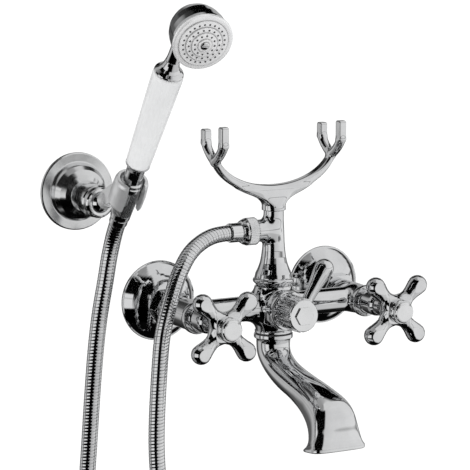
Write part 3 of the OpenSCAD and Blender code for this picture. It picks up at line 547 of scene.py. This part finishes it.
def carried_frames(q):
    """Tangent and a normal carried along the curve without twist."""
    tangent = np.gradient(q, axis=0)
    tangent /= np.linalg.norm(tangent, axis=1)[:, None]
    normal = np.zeros_like(q)
    side = np.cross(tangent[0], (0, 1, 0))
    for i, direction in enumerate(tangent):
        side = side - direction * side.dot(direction)
        side /= np.linalg.norm(side)
        normal[i] = side
    return tangent, normal


def wound_tube(name, s, q, tangent, normal, start, end):
    """Strip wound metal hose: ridges on a helix, from arc position start to end."""
    sides = HOSE_SIDES
    per_turn = len(RING_SHAPE)
    first, last = int(start / HOSE_PITCH) - 1, int(end / HOSE_PITCH) + 1
    rows = [(turn + f, grow) for turn in range(first, last + 1) for f, grow in RING_SHAPE]
    verts = []
    for phase, grow in rows:
        angle = np.arange(sides) * 2 * math.pi / sides
        along = np.clip((phase + np.arange(sides) / sides) * HOSE_PITCH, start, end)
        centre, d, u = (np.array([np.interp(along, s, f[:, c]) for c in range(3)]).T for f in (q, tangent, normal))
        u /= np.linalg.norm(u, axis=1)[:, None]
        v = np.cross(d, u)
        r = HOSE_R + grow
        verts.append(centre + r * (np.cos(angle)[:, None] * u + np.sin(angle)[:, None] * v))
    count = len(rows)
    faces, shaded_seam_faces = [], []
    for i in range(count - 1):
        a, b = i * sides, (i + 1) * sides
        in_shaded_seam = max(rows[i][1], rows[i + 1][1]) < -SEAM_SHADE_DEPTH
        for k in range(sides):
            if k < sides - 1:
                corners = (a + k, a + k + 1, b + k + 1, b + k)
            elif i + 1 + per_turn < count:
                corners = (a + k, a + per_turn * sides, b + per_turn * sides, b + k)
            else:
                continue
            # groove bottoms take the near-black material: painted shade between the windings over the dark inner
            # hose
            if in_shaded_seam:
                shaded_seam_faces.append(len(faces))
            faces.append(corners)
    piece = add_mesh(name, np.vstack(verts), faces, HOSE, None, sharp=24)
    piece.data.materials.append(SEAM_SHADE)
    for index in shaded_seam_faces:
        piece.data.polygons[index].material_index = 1
    return piece


def lay_hose():
    """The hose's three stretches on one curve, each with its path and length in metres."""
    s, q, marks = spline(LOOP + RISER + TOP)
    tangent, normal = carried_frames(q)
    first_end, second_end = marks[len(LOOP) - 1], marks[len(LOOP) + len(RISER) - 1]
    parts = {}
    for name, start, end in (
        ("hose_outlet_leg", 0, first_end),
        ("hose_riser_leg", first_end, second_end),
        ("hose_top_leg", second_end, s[-1]),
    ):
        piece = wound_tube(name, s, q, tangent, normal, start, end)
        inside = (s >= start) & (s <= end)
        path = [tuple(x * MM) for x in q[inside][::6]] + [tuple(q[inside][-1] * MM)]
        parts[name] = (piece, path, (end - start) * MM)
    return parts


HOSE_PARTS = lay_hose()
outlet_leg, outlet_path, outlet_length = HOSE_PARTS["hose_outlet_leg"]
riser_leg, riser_path, riser_length = HOSE_PARTS["hose_riser_leg"]
top_leg, top_path, top_length = HOSE_PARTS["hose_top_leg"]
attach(outlet_leg, "fixture")
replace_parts(outlet_leg, "hose_loop")
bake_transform(riser_leg)
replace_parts(riser_leg, "hose_riser")
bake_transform(top_leg)
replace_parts(top_leg, "hose_tail")


# ---------- knurled nuts ----------
def knurled(name, node, profile, band, count, depth, mover, body):
    """A turned nut with count teeth cut depth deep; band is (from z, to z, above radius)."""

    def radius_at(r, z, angles):
        radii = np.full(len(angles), float(r))
        if band[0] < z < band[1] and r > band[2]:
            fade = min(1.0, (z - band[0]) / 0.6, (band[1] - z) / 0.6)
            ridge = 0.5 + 0.5 * np.cos(angles * count)
            radii = radii - depth * fade * (1 - ridge**0.7)
        return radii

    verts, faces = lathe(refine(profile, 0.5), count * 6, radius_at)
    piece = add_mesh(name, mover(verts), faces, BRIGHT, body, sharp=28)
    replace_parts(piece, node)
    return piece


hose_nut = knurled(
    "outlet_knurled_nut",
    "hose_nut",
    [(8.4, 16.7), (10.2, 16.7), (10.7, 17.2), (10.7, 25), (10.2, 25.8), (9.8, 27.3), (8.6, 29.2), (7.7, 29.7),
     (6.2, 29.7), (6.2, 26.4), (8.4, 26.4)],
    (17.3, 25.2, 10),
    48,
    0.65,
    hose_place,
    "fixture",
)
cone_nut = knurled(
    "cone_knurled_nut",
    "cone_nut",
    [(6.5, 0.3), (7, 0.3), (7.5, 1), (7.6, 4), (8.6, 31), (8.7, 33.2), (8.3, 33.9), (7.6, 33.9), (7.6, 13.9),
     (6.5, 13.9)],
    (5, 30, 7.4),
    44,
    0.3,
    shower_place,
    "hand_shower",
)


# ---------- grip ----------
def make_grip():
    """Glazed grip with faint flutes that fade out towards both ends."""
    length = GRIP_TOP - GRIP_FOOT
    outline = [
        (5.4, 0), (8.1, 0), (8.7, 0.4), (9, 1.2), (9.25, 6), (9.9, 30), (10.45, 50), (10.95, 68), (11.2, 77),
        (11.2, 83), (11, 84.4), (10.5, length - 0.4), (9.8, length), (5.4, length),
    ]

    def radius_at(r, z, angles):
        if r < 6:
            return np.full(len(angles), float(r))
        height = z - GRIP_FOOT
        fade = smooth_step(height, 3, 9) * (1 - smooth_step(height, length - 9, length - 3))
        return r - 0.3 * fade * np.abs(np.sin(angles * 8)) ** 5

    profile = refine([(r, z + GRIP_FOOT) for r, z in outline], 2.5)
    verts, faces = lathe(profile, 160, radius_at)
    piece = add_mesh("porcelain_grip", shower_place(verts), faces, PORCELAIN, "hand_shower", sharp=50)
    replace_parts(piece, "grip")


make_grip()


# ---------- spout ----------
# sections down the spout: front edge (y, z), back edge (y, z), half width, roundness (2 is an ellipse)
STATIONS = [
    ((-68.3, -21.5), (-37.7, -21.5), 15.3, 2), ((-68.4, -23), (-37.6, -23), 15.4, 2),
    ((-68.3, -24.4), (-37.7, -24.4), 15.3, 2), ((-67.2, -25.2), (-38.8, -25.3), 14.2, 2),
    ((-66.5, -26.2), (-39.5, -26.6), 13.5, 2),
    ((-66, -29), (-39.6, -31), 13.3, 2), ((-66.8, -33), (-40.3, -37.7), 13.1, 2),
    ((-71.3, -37), (-43.3, -44), 12.9, 2), ((-79.7, -40.2), (-50.3, -51), 12.8, 2),
    ((-92, -43.1), (-61.3, -57.2), 13, 2.05), ((-106, -45.8), (-75.5, -62), 13.4, 2.15),
    ((-120, -48.5), (-92, -65.3), 14, 2.3), ((-132, -51.5), (-106, -69), 14.9, 2.5),
    ((-141.5, -54.5), (-117, -72.8), 16, 2.7), ((-148.5, -58.5), (-125.6, -77.4), 17, 2.9),
    ((-152.8, -64), (-131.3, -81.7), 17.9, 3.1), ((-155.4, -72), (-134.8, -85.6), 18.9, 3.2),
    ((-157, -80), (-136.8, -88.9), 20, 3.4), ((-158.5, -86.2), (-136.6, -91.6), 21.3, 3.7),
    ((-159.9, -89.4), (-135.2, -93.5), 22.8, 4), ((-160, -90.4), (-134.4, -94.1), 23, 4),
    ((-160, -92.2), (-134, -95), 23, 4),
]


def catmull(values, t):
    """Catmull-Rom through rows of values at fractional row t."""
    v = np.asarray(values, float)
    i = np.clip(int(t), 0, len(v) - 2)
    f = t - i
    a, b, c, d = v[max(i - 1, 0)], v[i], v[i + 1], v[min(i + 2, len(v) - 1)]
    return 0.5 * (2 * b + (c - a) * f + (2 * a - 5 * b + 4 * c - d) * f * f + (3 * b - a - 3 * c + d) * f**3)


def spout_ring(row, inset, sides):
    """One section of the spout as a ring of points, drawn in by inset."""
    top, low, half_width, power = np.array(row[0:2]), np.array(row[2:4]), row[4], row[5]
    mid, half = (top + low) / 2, (top - low) / 2
    keep = 1 - inset / np.linalg.norm(half)
    a = np.linspace(0, 2 * math.pi, sides, endpoint=False)
    u = np.sign(np.cos(a)) * np.abs(np.cos(a)) ** (2 / power)
    v = np.sign(np.sin(a)) * np.abs(np.sin(a)) ** (2 / power) * keep
    return np.c_[(half_width - inset) * u, mid[0] + half[0] * v, mid[1] + half[1] * v + BODY_UP]


def make_spout():
    sides = 96
    rows = [(*top, *low, wide, power) for top, low, wide, power in STATIONS]
    last = len(rows) - 1
    outside = [spout_ring(catmull(rows, t), 0, sides) for t in np.linspace(0, last, last * 5 + 1)]
    lip = [spout_ring(rows[-1], x, sides) + (0, 0, -z) for x, z in ((0.5, 0.5), (1.1, 0.6), (1.8, 0.2), (2.2, -0.6))]
    inside = [spout_ring(catmull(rows, t), 2.2, sides) for t in np.linspace(last - 0.6, 2, last * 3)]
    rings = outside + lip + inside
    verts = np.vstack(rings)
    faces = grid_faces(len(rings), sides)
    faces.append(tuple(reversed(range(sides))))
    faces.append(tuple(range((len(rings) - 1) * sides, len(rings) * sides)))
    piece = add_mesh("cast_spout", verts, faces, CHROME, "fixture", sharp=60)
    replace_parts(piece, "spout")


make_spout()


# ---------- tap handles ----------
ARM_OUT, ARM_REACH, ARM_ANGLE = 112.8, 26.8, 43
HUB_END = 119
HUB = [
    (0, 90.6), (6.6, 90.6), (7, 91.4), (7, 97), (7.6, 100), (9, 104), (10.4, 107.4), (11.2, 111), (11.2, 114),
    (10.2, 117), (9.4, 118.6), (9.4, HUB_END), (0, HUB_END),
]
ARM = [(0, 6.6), (8, 6.3), (12, 5.75), (15, 5.6), (18, 5.85), (21, 6.45), (24, 7.2), (ARM_REACH, 7.6)]


def handle_field(p):
    """A hub with four arms, bored for the spindle and recessed for the index cap."""
    arms = np.full(len(p), np.inf)
    for quarter in range(4):
        angle = math.radians(ARM_ANGLE + 90 * quarter)
        tip = (ARM_REACH * math.cos(angle), ARM_REACH * math.sin(angle), ARM_OUT)
        arms = np.minimum(arms, rod_field(p, (0, 0, ARM_OUT), tip, ARM))
    solid = blend_in(turned_field(p, HUB), arms, 5.5)
    solid = cut_out(solid, turned_field(p, [(0, 89), (3.6, 89), (3.6, 108.8), (0, 108.8)]))
    solid = cut_out(solid, turned_field(p, [(0, 112), (8.2, 112), (8.2, 121), (0, 121)]), 0.4)
    return np.maximum(solid, p[:, 2] - HUB_END)


def make_handles():
    surface = field_surface(handle_field, (-29, -29, 89), (29, 29, 121), 0.62)
    for name, x, body in (("handle_hot", -TAP_X, "hot_tap"), ("handle_cold", TAP_X, "cold_tap")):
        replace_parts(cast_piece("cross_" + name, surface, out_place(x), body), name)


make_handles()


# ---------- diverter ----------
FLUTES, FLUTE_DEPTH, FLUTE_WIDTH, FLUTED_ABOVE = 22, 1.9, 0.28, 12
LEVER_ANGLE = math.radians(32)
LEVER_OUT, LEVER_REACH = 94.2, 40.5
LEVER = [(0, 4.4), (10, 4.3), (14, 4.4), (20, 4.8), (26, 5.5), (31, 6.3), (36, 7.1), (LEVER_REACH, 7.5)]


def fluted(name, outline, band, mover, body):
    """A turned piece with flutes between the two heights of band."""

    def radius_at(r, z, angles):
        radii = np.full(len(angles), float(r))
        if band[0] <= z <= band[1] and r > FLUTED_ABOVE:
            groove = np.clip(1 - np.abs((angles * FLUTES / (2 * math.pi)) % 1 - 0.5) / FLUTE_WIDTH, 0, 1)
            radii = radii - FLUTE_DEPTH * np.sqrt(groove)
        return radii

    verts, faces = lathe(refine(outline, 0.6), FLUTES * 12, radius_at)
    return add_mesh(name, mover(verts), faces, CHROME, body, sharp=30)


def lever_field(p):
    """The lever's club shaped arm and the plain collar it grows from."""
    tip = (LEVER_REACH * math.sin(LEVER_ANGLE), LEVER_REACH * math.cos(LEVER_ANGLE), LEVER_OUT)
    arm = rod_field(p, (0, 0, LEVER_OUT), tip, LEVER)
    collar = turned_field(p, [(4.2, 90.9), (12.2, 90.9), (12.2, 97.4), (4.2, 97.4)])
    return blend_in(collar, cut_out(arm, turned_field(p, [(0, 80), (11, 80), (11, 110), (0, 110)])), 2.5)


def make_diverter():
    mover = out_place(0)
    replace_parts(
        fluted(
            "diverter_fluted_bonnet",
            [(10.6, 78), (13.1, 78), (13.4, 78.5), (13.4, 79.2), (13.4, 79.8), (13.4, 89.5), (12.9, 90), (4.3, 90),
             (4.3, 87), (10.6, 87)],
            (79.5, 90), mover, "fixture",
        ),
        "diverter_bonnet",
    )
    hub = fluted(
        "diverter_fluted_hub",
        [(4.05, 90.4), (12.9, 90.4), (13.4, 90.9), (13.4, 97.5), (12.9, 98), (4.05, 98)],
        (90.4, 98), mover, "diverter",
    )
    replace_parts(hub, "diverter_lever")
    surface = field_surface(lever_field, (-14, -14, 85), (32, 45, 104), 0.6)
    cast_piece("diverter_lever_arm", surface, mover, "diverter")


make_diverter()


# ---------- mixer body ----------
def body_field(p):
    """Local axes: the body axis along x, y towards the wall, z up."""
    tube = np.hypot(p[:, 1], p[:, 2]) - 9.9
    tube = np.maximum(tube, np.abs(p[:, 0]) - TAP_X)
    neck = turned_field(p, [(0, -18.6), (13.3, -18.6), (13, -12), (12.6, 0), (12.6, 9), (13.6, 16.6), (0, 16.6)])
    solid = blend_in(neck, tube, 15)
    solid = np.maximum(solid, np.maximum(-18.6 - p[:, 2], p[:, 2] - 16.8))
    q = p * (1, -1, 1)
    socket = turned_field(q, [(0, 0), (13.9, 0), (13.9, 21.4), (0, 21.4)], axis=1)
    solid = blend_in(solid, socket, 5)
    for side in (-1, 1):
        outline = [(0, -22.4), (10.9, -22.4), (11.5, -21.6), (11.5, 13), (0, 13)]
        housing = turned_field(q, outline, axis=1, centre=(TAP_X * side, 0, 0))
        solid = blend_in(solid, housing, 4)
    return solid


def ring(name, outline, mover):
    """A turned chrome moulding on the fixture."""
    verts, faces = lathe(outline, 96)
    return add_mesh(name, mover(verts), faces, CHROME, "fixture", sharp=32)


def make_body():
    surface = field_surface(body_field, (-88, -25, -20), (88, 25, 19), 0.75)
    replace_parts(cast_piece("mixer_body", surface, body_place, "fixture"), "body_casting")
    ring("socket_collar", [(11.2, 72.8), (13.9, 72.8), (15.2, 73.6), (15.6, 75), (15.6, 76.2), (15.2, 77.6),
                           (14.6, 78), (11.2, 78)], out_place(0))
    for name, x in (("housing_collar_hot", -TAP_X), ("housing_collar_cold", TAP_X)):
        ring(name, [(8.7, 64.8), (11.4, 64.8), (12.2, 65.6), (12.5, 66.8), (12.5, 69.6), (12.2, 70.6), (11.6, 71),
                    (8.7, 71)], out_place(x))
    ring("neck_foot_ring", [(8.2, -20.5), (14.4, -20.5), (14.7, -20.1), (14.7, -18.8), (14, -17.9), (13, -17.4),
                            (8.2, -17.4)], body_place)


make_body()


# ---------- pillar ----------
def pillar_field(p):
    """The waisted post with the stub of its hose outlet."""
    post = turned_field(
        p,
        [(0, 8), (7.95, 8), (7.95, 17), (13.7, 17), (14.7, 18.6), (14.9, 23.4), (14.2, 26.4), (12.3, 30.4),
         (10.8, 34.6), (9.8, 39.4), (9.1, 44.6), (8.6, 51), (8.3, 60), (7.9, 68), (7.9, 76), (0, 76)],
    )
    stub = turned_field(
        p * (-1, 1, 1),
        [(0, 0), (8.6, 0), (8.6, 15.9), (8.3, 16.3), (8.3, 23.2), (0, 23.2)],
        axis=0,
        centre=(0, 0, OUTLET_UP - BODY_UP),
    )
    return blend_in(post, stub, 5)


def make_pillar():
    surface = field_surface(pillar_field, (-25, -17, 6), (17, 17, 78), 0.62)
    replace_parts(cast_piece("cast_pillar", surface, body_place, "fixture"), "pillar")
    bead = [(13, 19)] + [
        (14.1 + 2.2 * math.cos(a), 20.8 + 2.2 * math.sin(a)) for a in np.linspace(-1.05, 1.2, 12)
    ] + [(13, 23)]
    ring("pillar_bead", bead, body_place)


make_pillar()


# ---------- cradle ----------
def bow_field(p):
    """The flat bow: an arc that is thickest in the middle, with rounded edges."""
    angles = np.radians(np.linspace(199, 341, 60))
    centre = np.c_[53.4 * np.cos(angles), 126 + 34.1 * np.sin(angles)]
    middle = np.cos((angles - np.radians(270)) * 1.25)
    half = 2.3 + 1.6 * np.clip(middle, 0, 1)
    flat = p[:, [0, 2]]
    near = np.full(len(p), np.inf)
    for a, b, ra, rb in zip(centre[:-1], centre[1:], half[:-1], half[1:]):
        edge, w = b - a, flat - a
        t = np.clip(w @ edge / (edge @ edge), 0, 1)
        rest = w - t[:, None] * edge
        near = np.minimum(near, np.hypot(rest[:, 0], rest[:, 1]) - (ra + (rb - ra) * t))
    depth = np.abs(p[:, 1]) - 4.6
    rounding = 2.2
    q = np.c_[near, depth] + rounding
    return np.hypot(np.maximum(q[:, 0], 0), np.maximum(q[:, 1], 0)) + np.minimum(q.max(axis=1), 0) - rounding


def fork_field(p):
    """The four prongs; each curves in below its straight part to meet its neighbour over the bow's end."""
    q = np.c_[np.abs(p[:, 0]) - 51.6, np.abs(p[:, 1]), p[:, 2]]
    turns = np.linspace(0, math.pi / 2, 10)
    route = [(0, 14.5 * math.cos(a) ** 1.5, 130 - 12.6 * math.sin(a) ** 1.5) for a in turns[:-1]] + [(0, 0, 117.4)]
    legs = rod_field(q, (0, 0, 116), (0, 0, 119), [(0, 3.6), (3, 3)])
    for a, b in zip(route[:-1], route[1:]):
        legs = blend_in(legs, rod_field(q, a, b, [(0, 3.4), (20, 3.4)]), 1.2)
    front, back = (
        rounded_bar_field(q, (0, 14.5, (top + 128) / 2), (3.4, 3.4, (top - 128) / 2), 1.6) for top in (144.5, 140.5)
    )
    return blend_in(np.where(p[:, 1] < 0, front, back), legs, 1.5)


def neck_field(p):
    """The foot: round at its collar, then as wide as the bow's middle and as thin as the bow."""
    z = p[:, 2]
    wide = 9.4 + 9 * smooth_step(z, 80, 94)
    deep = 9.4 - 4.9 * smooth_step(z, 77, 91)
    power = 2 + 4 * smooth_step(z, 79, 90)
    reach = ((np.abs(p[:, 0]) / wide) ** power + (np.abs(p[:, 1]) / deep) ** power) ** (1 / power)
    return np.maximum((reach - 1) * deep, z - 91)


def cradle_field(p):
    solid = blend_in(bow_field(p), neck_field(p), 7)
    solid = np.maximum(solid, 76 - p[:, 2])
    return blend_in(solid, fork_field(p), 2.2)


def make_cradle():
    surface = field_surface(cradle_field, (-57, -20, 75.4), (57, 20, 146), 0.66)
    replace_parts(cast_piece("cast_cradle", surface, body_place, "fixture"), "cradle")


make_cradle()


# ---------- spray holes ----------
def make_jets():
    """Three rings of dark rubber nozzles on the steps of the spray plate."""
    turn = math.radians(7)
    tilt = math.radians(82)
    x_axis = np.array([math.cos(turn), 0, 0]) + math.sin(turn) * SHOWER_OUT
    ahead = math.cos(turn) * SHOWER_OUT - math.sin(turn) * np.array([1, 0, 0])
    normal = math.cos(tilt) * SHOWER_DIR + math.sin(tilt) * ahead
    side = np.cross(normal, x_axis)
    centre = SHOWER_FOOT + (GRIP_TOP + 55.7) * SHOWER_DIR + 35 * ahead
    verts, faces = [], []
    profile = [(0, -0.5), (0.28, -0.5), (0.42, 0.05), (0.62, 0.25), (0.72, 0.12), (0.74, -0.4)]
    for count, r, z in ((25, 14.7, 1.1), (17, 10.92, 2.15), (12, 7.14, 3.2)):
        for k in range(count):
            a = 2 * math.pi * k / count
            ring, f = lathe(profile, 12)
            ring = ring + (r * math.cos(a), r * math.sin(a), z - 0.1)
            f = [tuple(i + len(verts) * 72 for i in q) for q in f]
            verts.append(ring)
            faces += f
    verts = place(np.vstack(verts), centre, x_axis, side, normal)
    add_mesh("spray_jets", verts, faces, PLASTIC, "hand_shower", sharp=40)


make_jets()


# ---------- studio ----------
def make_world():
    """A plain pale surround to the camera; polished metal sees soft boxes, dark gaps, walls and a ceiling."""
    world = bpy.data.worlds.new("studio")
    bpy.context.scene.world = world
    world.use_nodes = True
    tree = world.node_tree
    link = tree.links.new
    tree.nodes.clear()
    direction = add_node(tree, "ShaderNodeTexCoord").outputs["Generated"]
    split = add_node(tree, "ShaderNodeSeparateXYZ")
    link(direction, split.inputs[0])
    toward = add_node(tree, "ShaderNodeMath", operation="MULTIPLY")
    toward.inputs[1].default_value = -1
    link(split.outputs["Y"], toward.inputs[0])
    around = add_node(tree, "ShaderNodeMath", operation="ARCTAN2")
    link(split.outputs["X"], around.inputs[0])
    link(toward.outputs[0], around.inputs[1])
    turn = add_node(tree, "ShaderNodeMapRange", in_From_Min=-math.pi, in_From_Max=math.pi)
    link(around.outputs[0], turn.inputs["Value"])
    height = add_node(tree, "ShaderNodeMapRange", in_From_Min=-1, in_From_Max=1)
    link(split.outputs["Z"], height.inputs["Value"])

    def around_band(edges):
        return ramp(tree, turn.outputs["Result"], [((angle + 180) / 360, v) for angle, v in edges])

    def above(elevation, soft=1.5):
        low, high = (0.5 + 0.5 * math.sin(math.radians(elevation + d)) for d in (-soft, soft))
        return ramp(tree, height.outputs["Result"], [(low, 0.0), (high, 1.0)])

    horizon = around_band([
        (-180, 0.1), (-158, 0.12), (-152, 0.5), (-124, 0.62), (-119, 0.15), (-110, 0.15), (-106, 0.84), (-61, 0.84),
        (-58, 0.0), (-24, 0.0), (-19, 0.6), (40, 0.84), (102, 0.86), (105, 0.02), (114, 0.05), (120, 0.45),
        (164, 0.45), (172, 0.08),
    ])
    line = around_band([
        (-180, 0.05), (-158, 0.05), (-152, 0.4), (-124, 0.5), (-119, 0.1), (-110, 0.1), (-106, 0.6), (-61, 0.6),
        (-58, 0.0), (-24, 0.0), (-18, 0.2), (102, 0.25), (105, 0.02), (114, 0.05), (120, 0.3), (180, 0.1),
    ])
    low_wall = around_band([
        (-180, 0.1), (-162, 0.1), (-154, 0.45), (-126, 0.5), (-118, 0.0), (-8, 0.0), (-1, 0.7), (50, 0.82),
        (104, 0.8), (107, 0.02), (114, 0.04), (120, 0.45), (164, 0.4), (172, 0.1),
    ])
    wall = around_band([
        (-180, 0.02), (-162, 0.05), (-154, 0.45), (-126, 0.5), (-118, 0.0), (-8, 0.0), (-1, 0.68), (50, 0.8),
        (104, 0.78), (109, 0.0), (172, 0.0), (180, 0.02),
    ])
    ceiling = around_band([(-180, 0.4), (-60, 0.3), (-30, 0.35), (-10, 0.72), (110, 0.75), (140, 0.5), (180, 0.4)])
    ground = around_band([
        (-180, 0.02), (-156, 0.08), (-150, 0.32), (-122, 0.3), (-114, 0.0), (-8, 0.0), (0, 0.5), (40, 0.65),
        (104, 0.62), (110, 0.0), (180, 0.02),
    ])

    def layered(under, over, factor):
        node = add_node(tree, "ShaderNodeMix", data_type="RGBA")
        link(factor, node.inputs["Factor"])
        if under:
            link(under.outputs["Result"], node.inputs["A"])
        link(over, node.inputs["B"])
        return node

    lower = layered(None, ground, above(-56, 3))
    lower.inputs["A"].default_value = (0.002, 0.002, 0.002, 1)
    for band, elevation, soft in (
        (horizon, -20, 1.5), (line, 1, 1), (horizon, 4, 1), (low_wall, 13, 1.5), (wall, 28, 2), (ceiling, 60, 4),
    ):
        lower = layered(lower, band, above(elevation, soft))
    paths = add_node(tree, "ShaderNodeLightPath")
    seen = add_node(tree, "ShaderNodeMix", data_type="RGBA")
    link(paths.outputs["Is Glossy Ray"], seen.inputs["Factor"])
    seen.inputs["A"].default_value = (1.12, 1.12, 1.12, 1)
    link(lower.outputs["Result"], seen.inputs["B"])
    background = add_node(tree, "ShaderNodeBackground")
    link(seen.outputs["Result"], background.inputs["Color"])
    out = add_node(tree, "ShaderNodeOutputWorld")
    link(background.outputs[0], out.inputs["Surface"])


def make_floor():
    """A plain pale floor under the hose loop."""
    material, tree, shader = node_material("pale_floor")
    where = add_node(tree, "ShaderNodeTexCoord").outputs["Object"]
    grain = add_node(tree, "ShaderNodeTexNoise", in_Scale=3, in_Detail=3)
    tree.links.new(where, grain.inputs["Vector"])
    tree.links.new(ramp(tree, grain.outputs["Fac"], [(0.3, 0.96), (0.7, 0.98)]), shader.inputs["Base Color"])
    shader.inputs["Roughness"].default_value = 0.9
    shader.inputs["Specular IOR Level"].default_value = 0.0
    corners = [(x, y, FLOOR_Z) for x, y in ((-6, -6), (6, -6), (6, 6), (-6, 6))]
    mesh = bpy.data.meshes.new("floor")
    mesh.from_pydata(corners, [], [(0, 1, 2, 3)])
    mesh.materials.append(material)
    floor = bpy.data.objects.new("floor", mesh)
    bpy.context.scene.collection.objects.link(floor)
    floor.visible_glossy = False


make_world()
make_floor()
bpy.context.scene.view_settings.view_transform = "Standard"
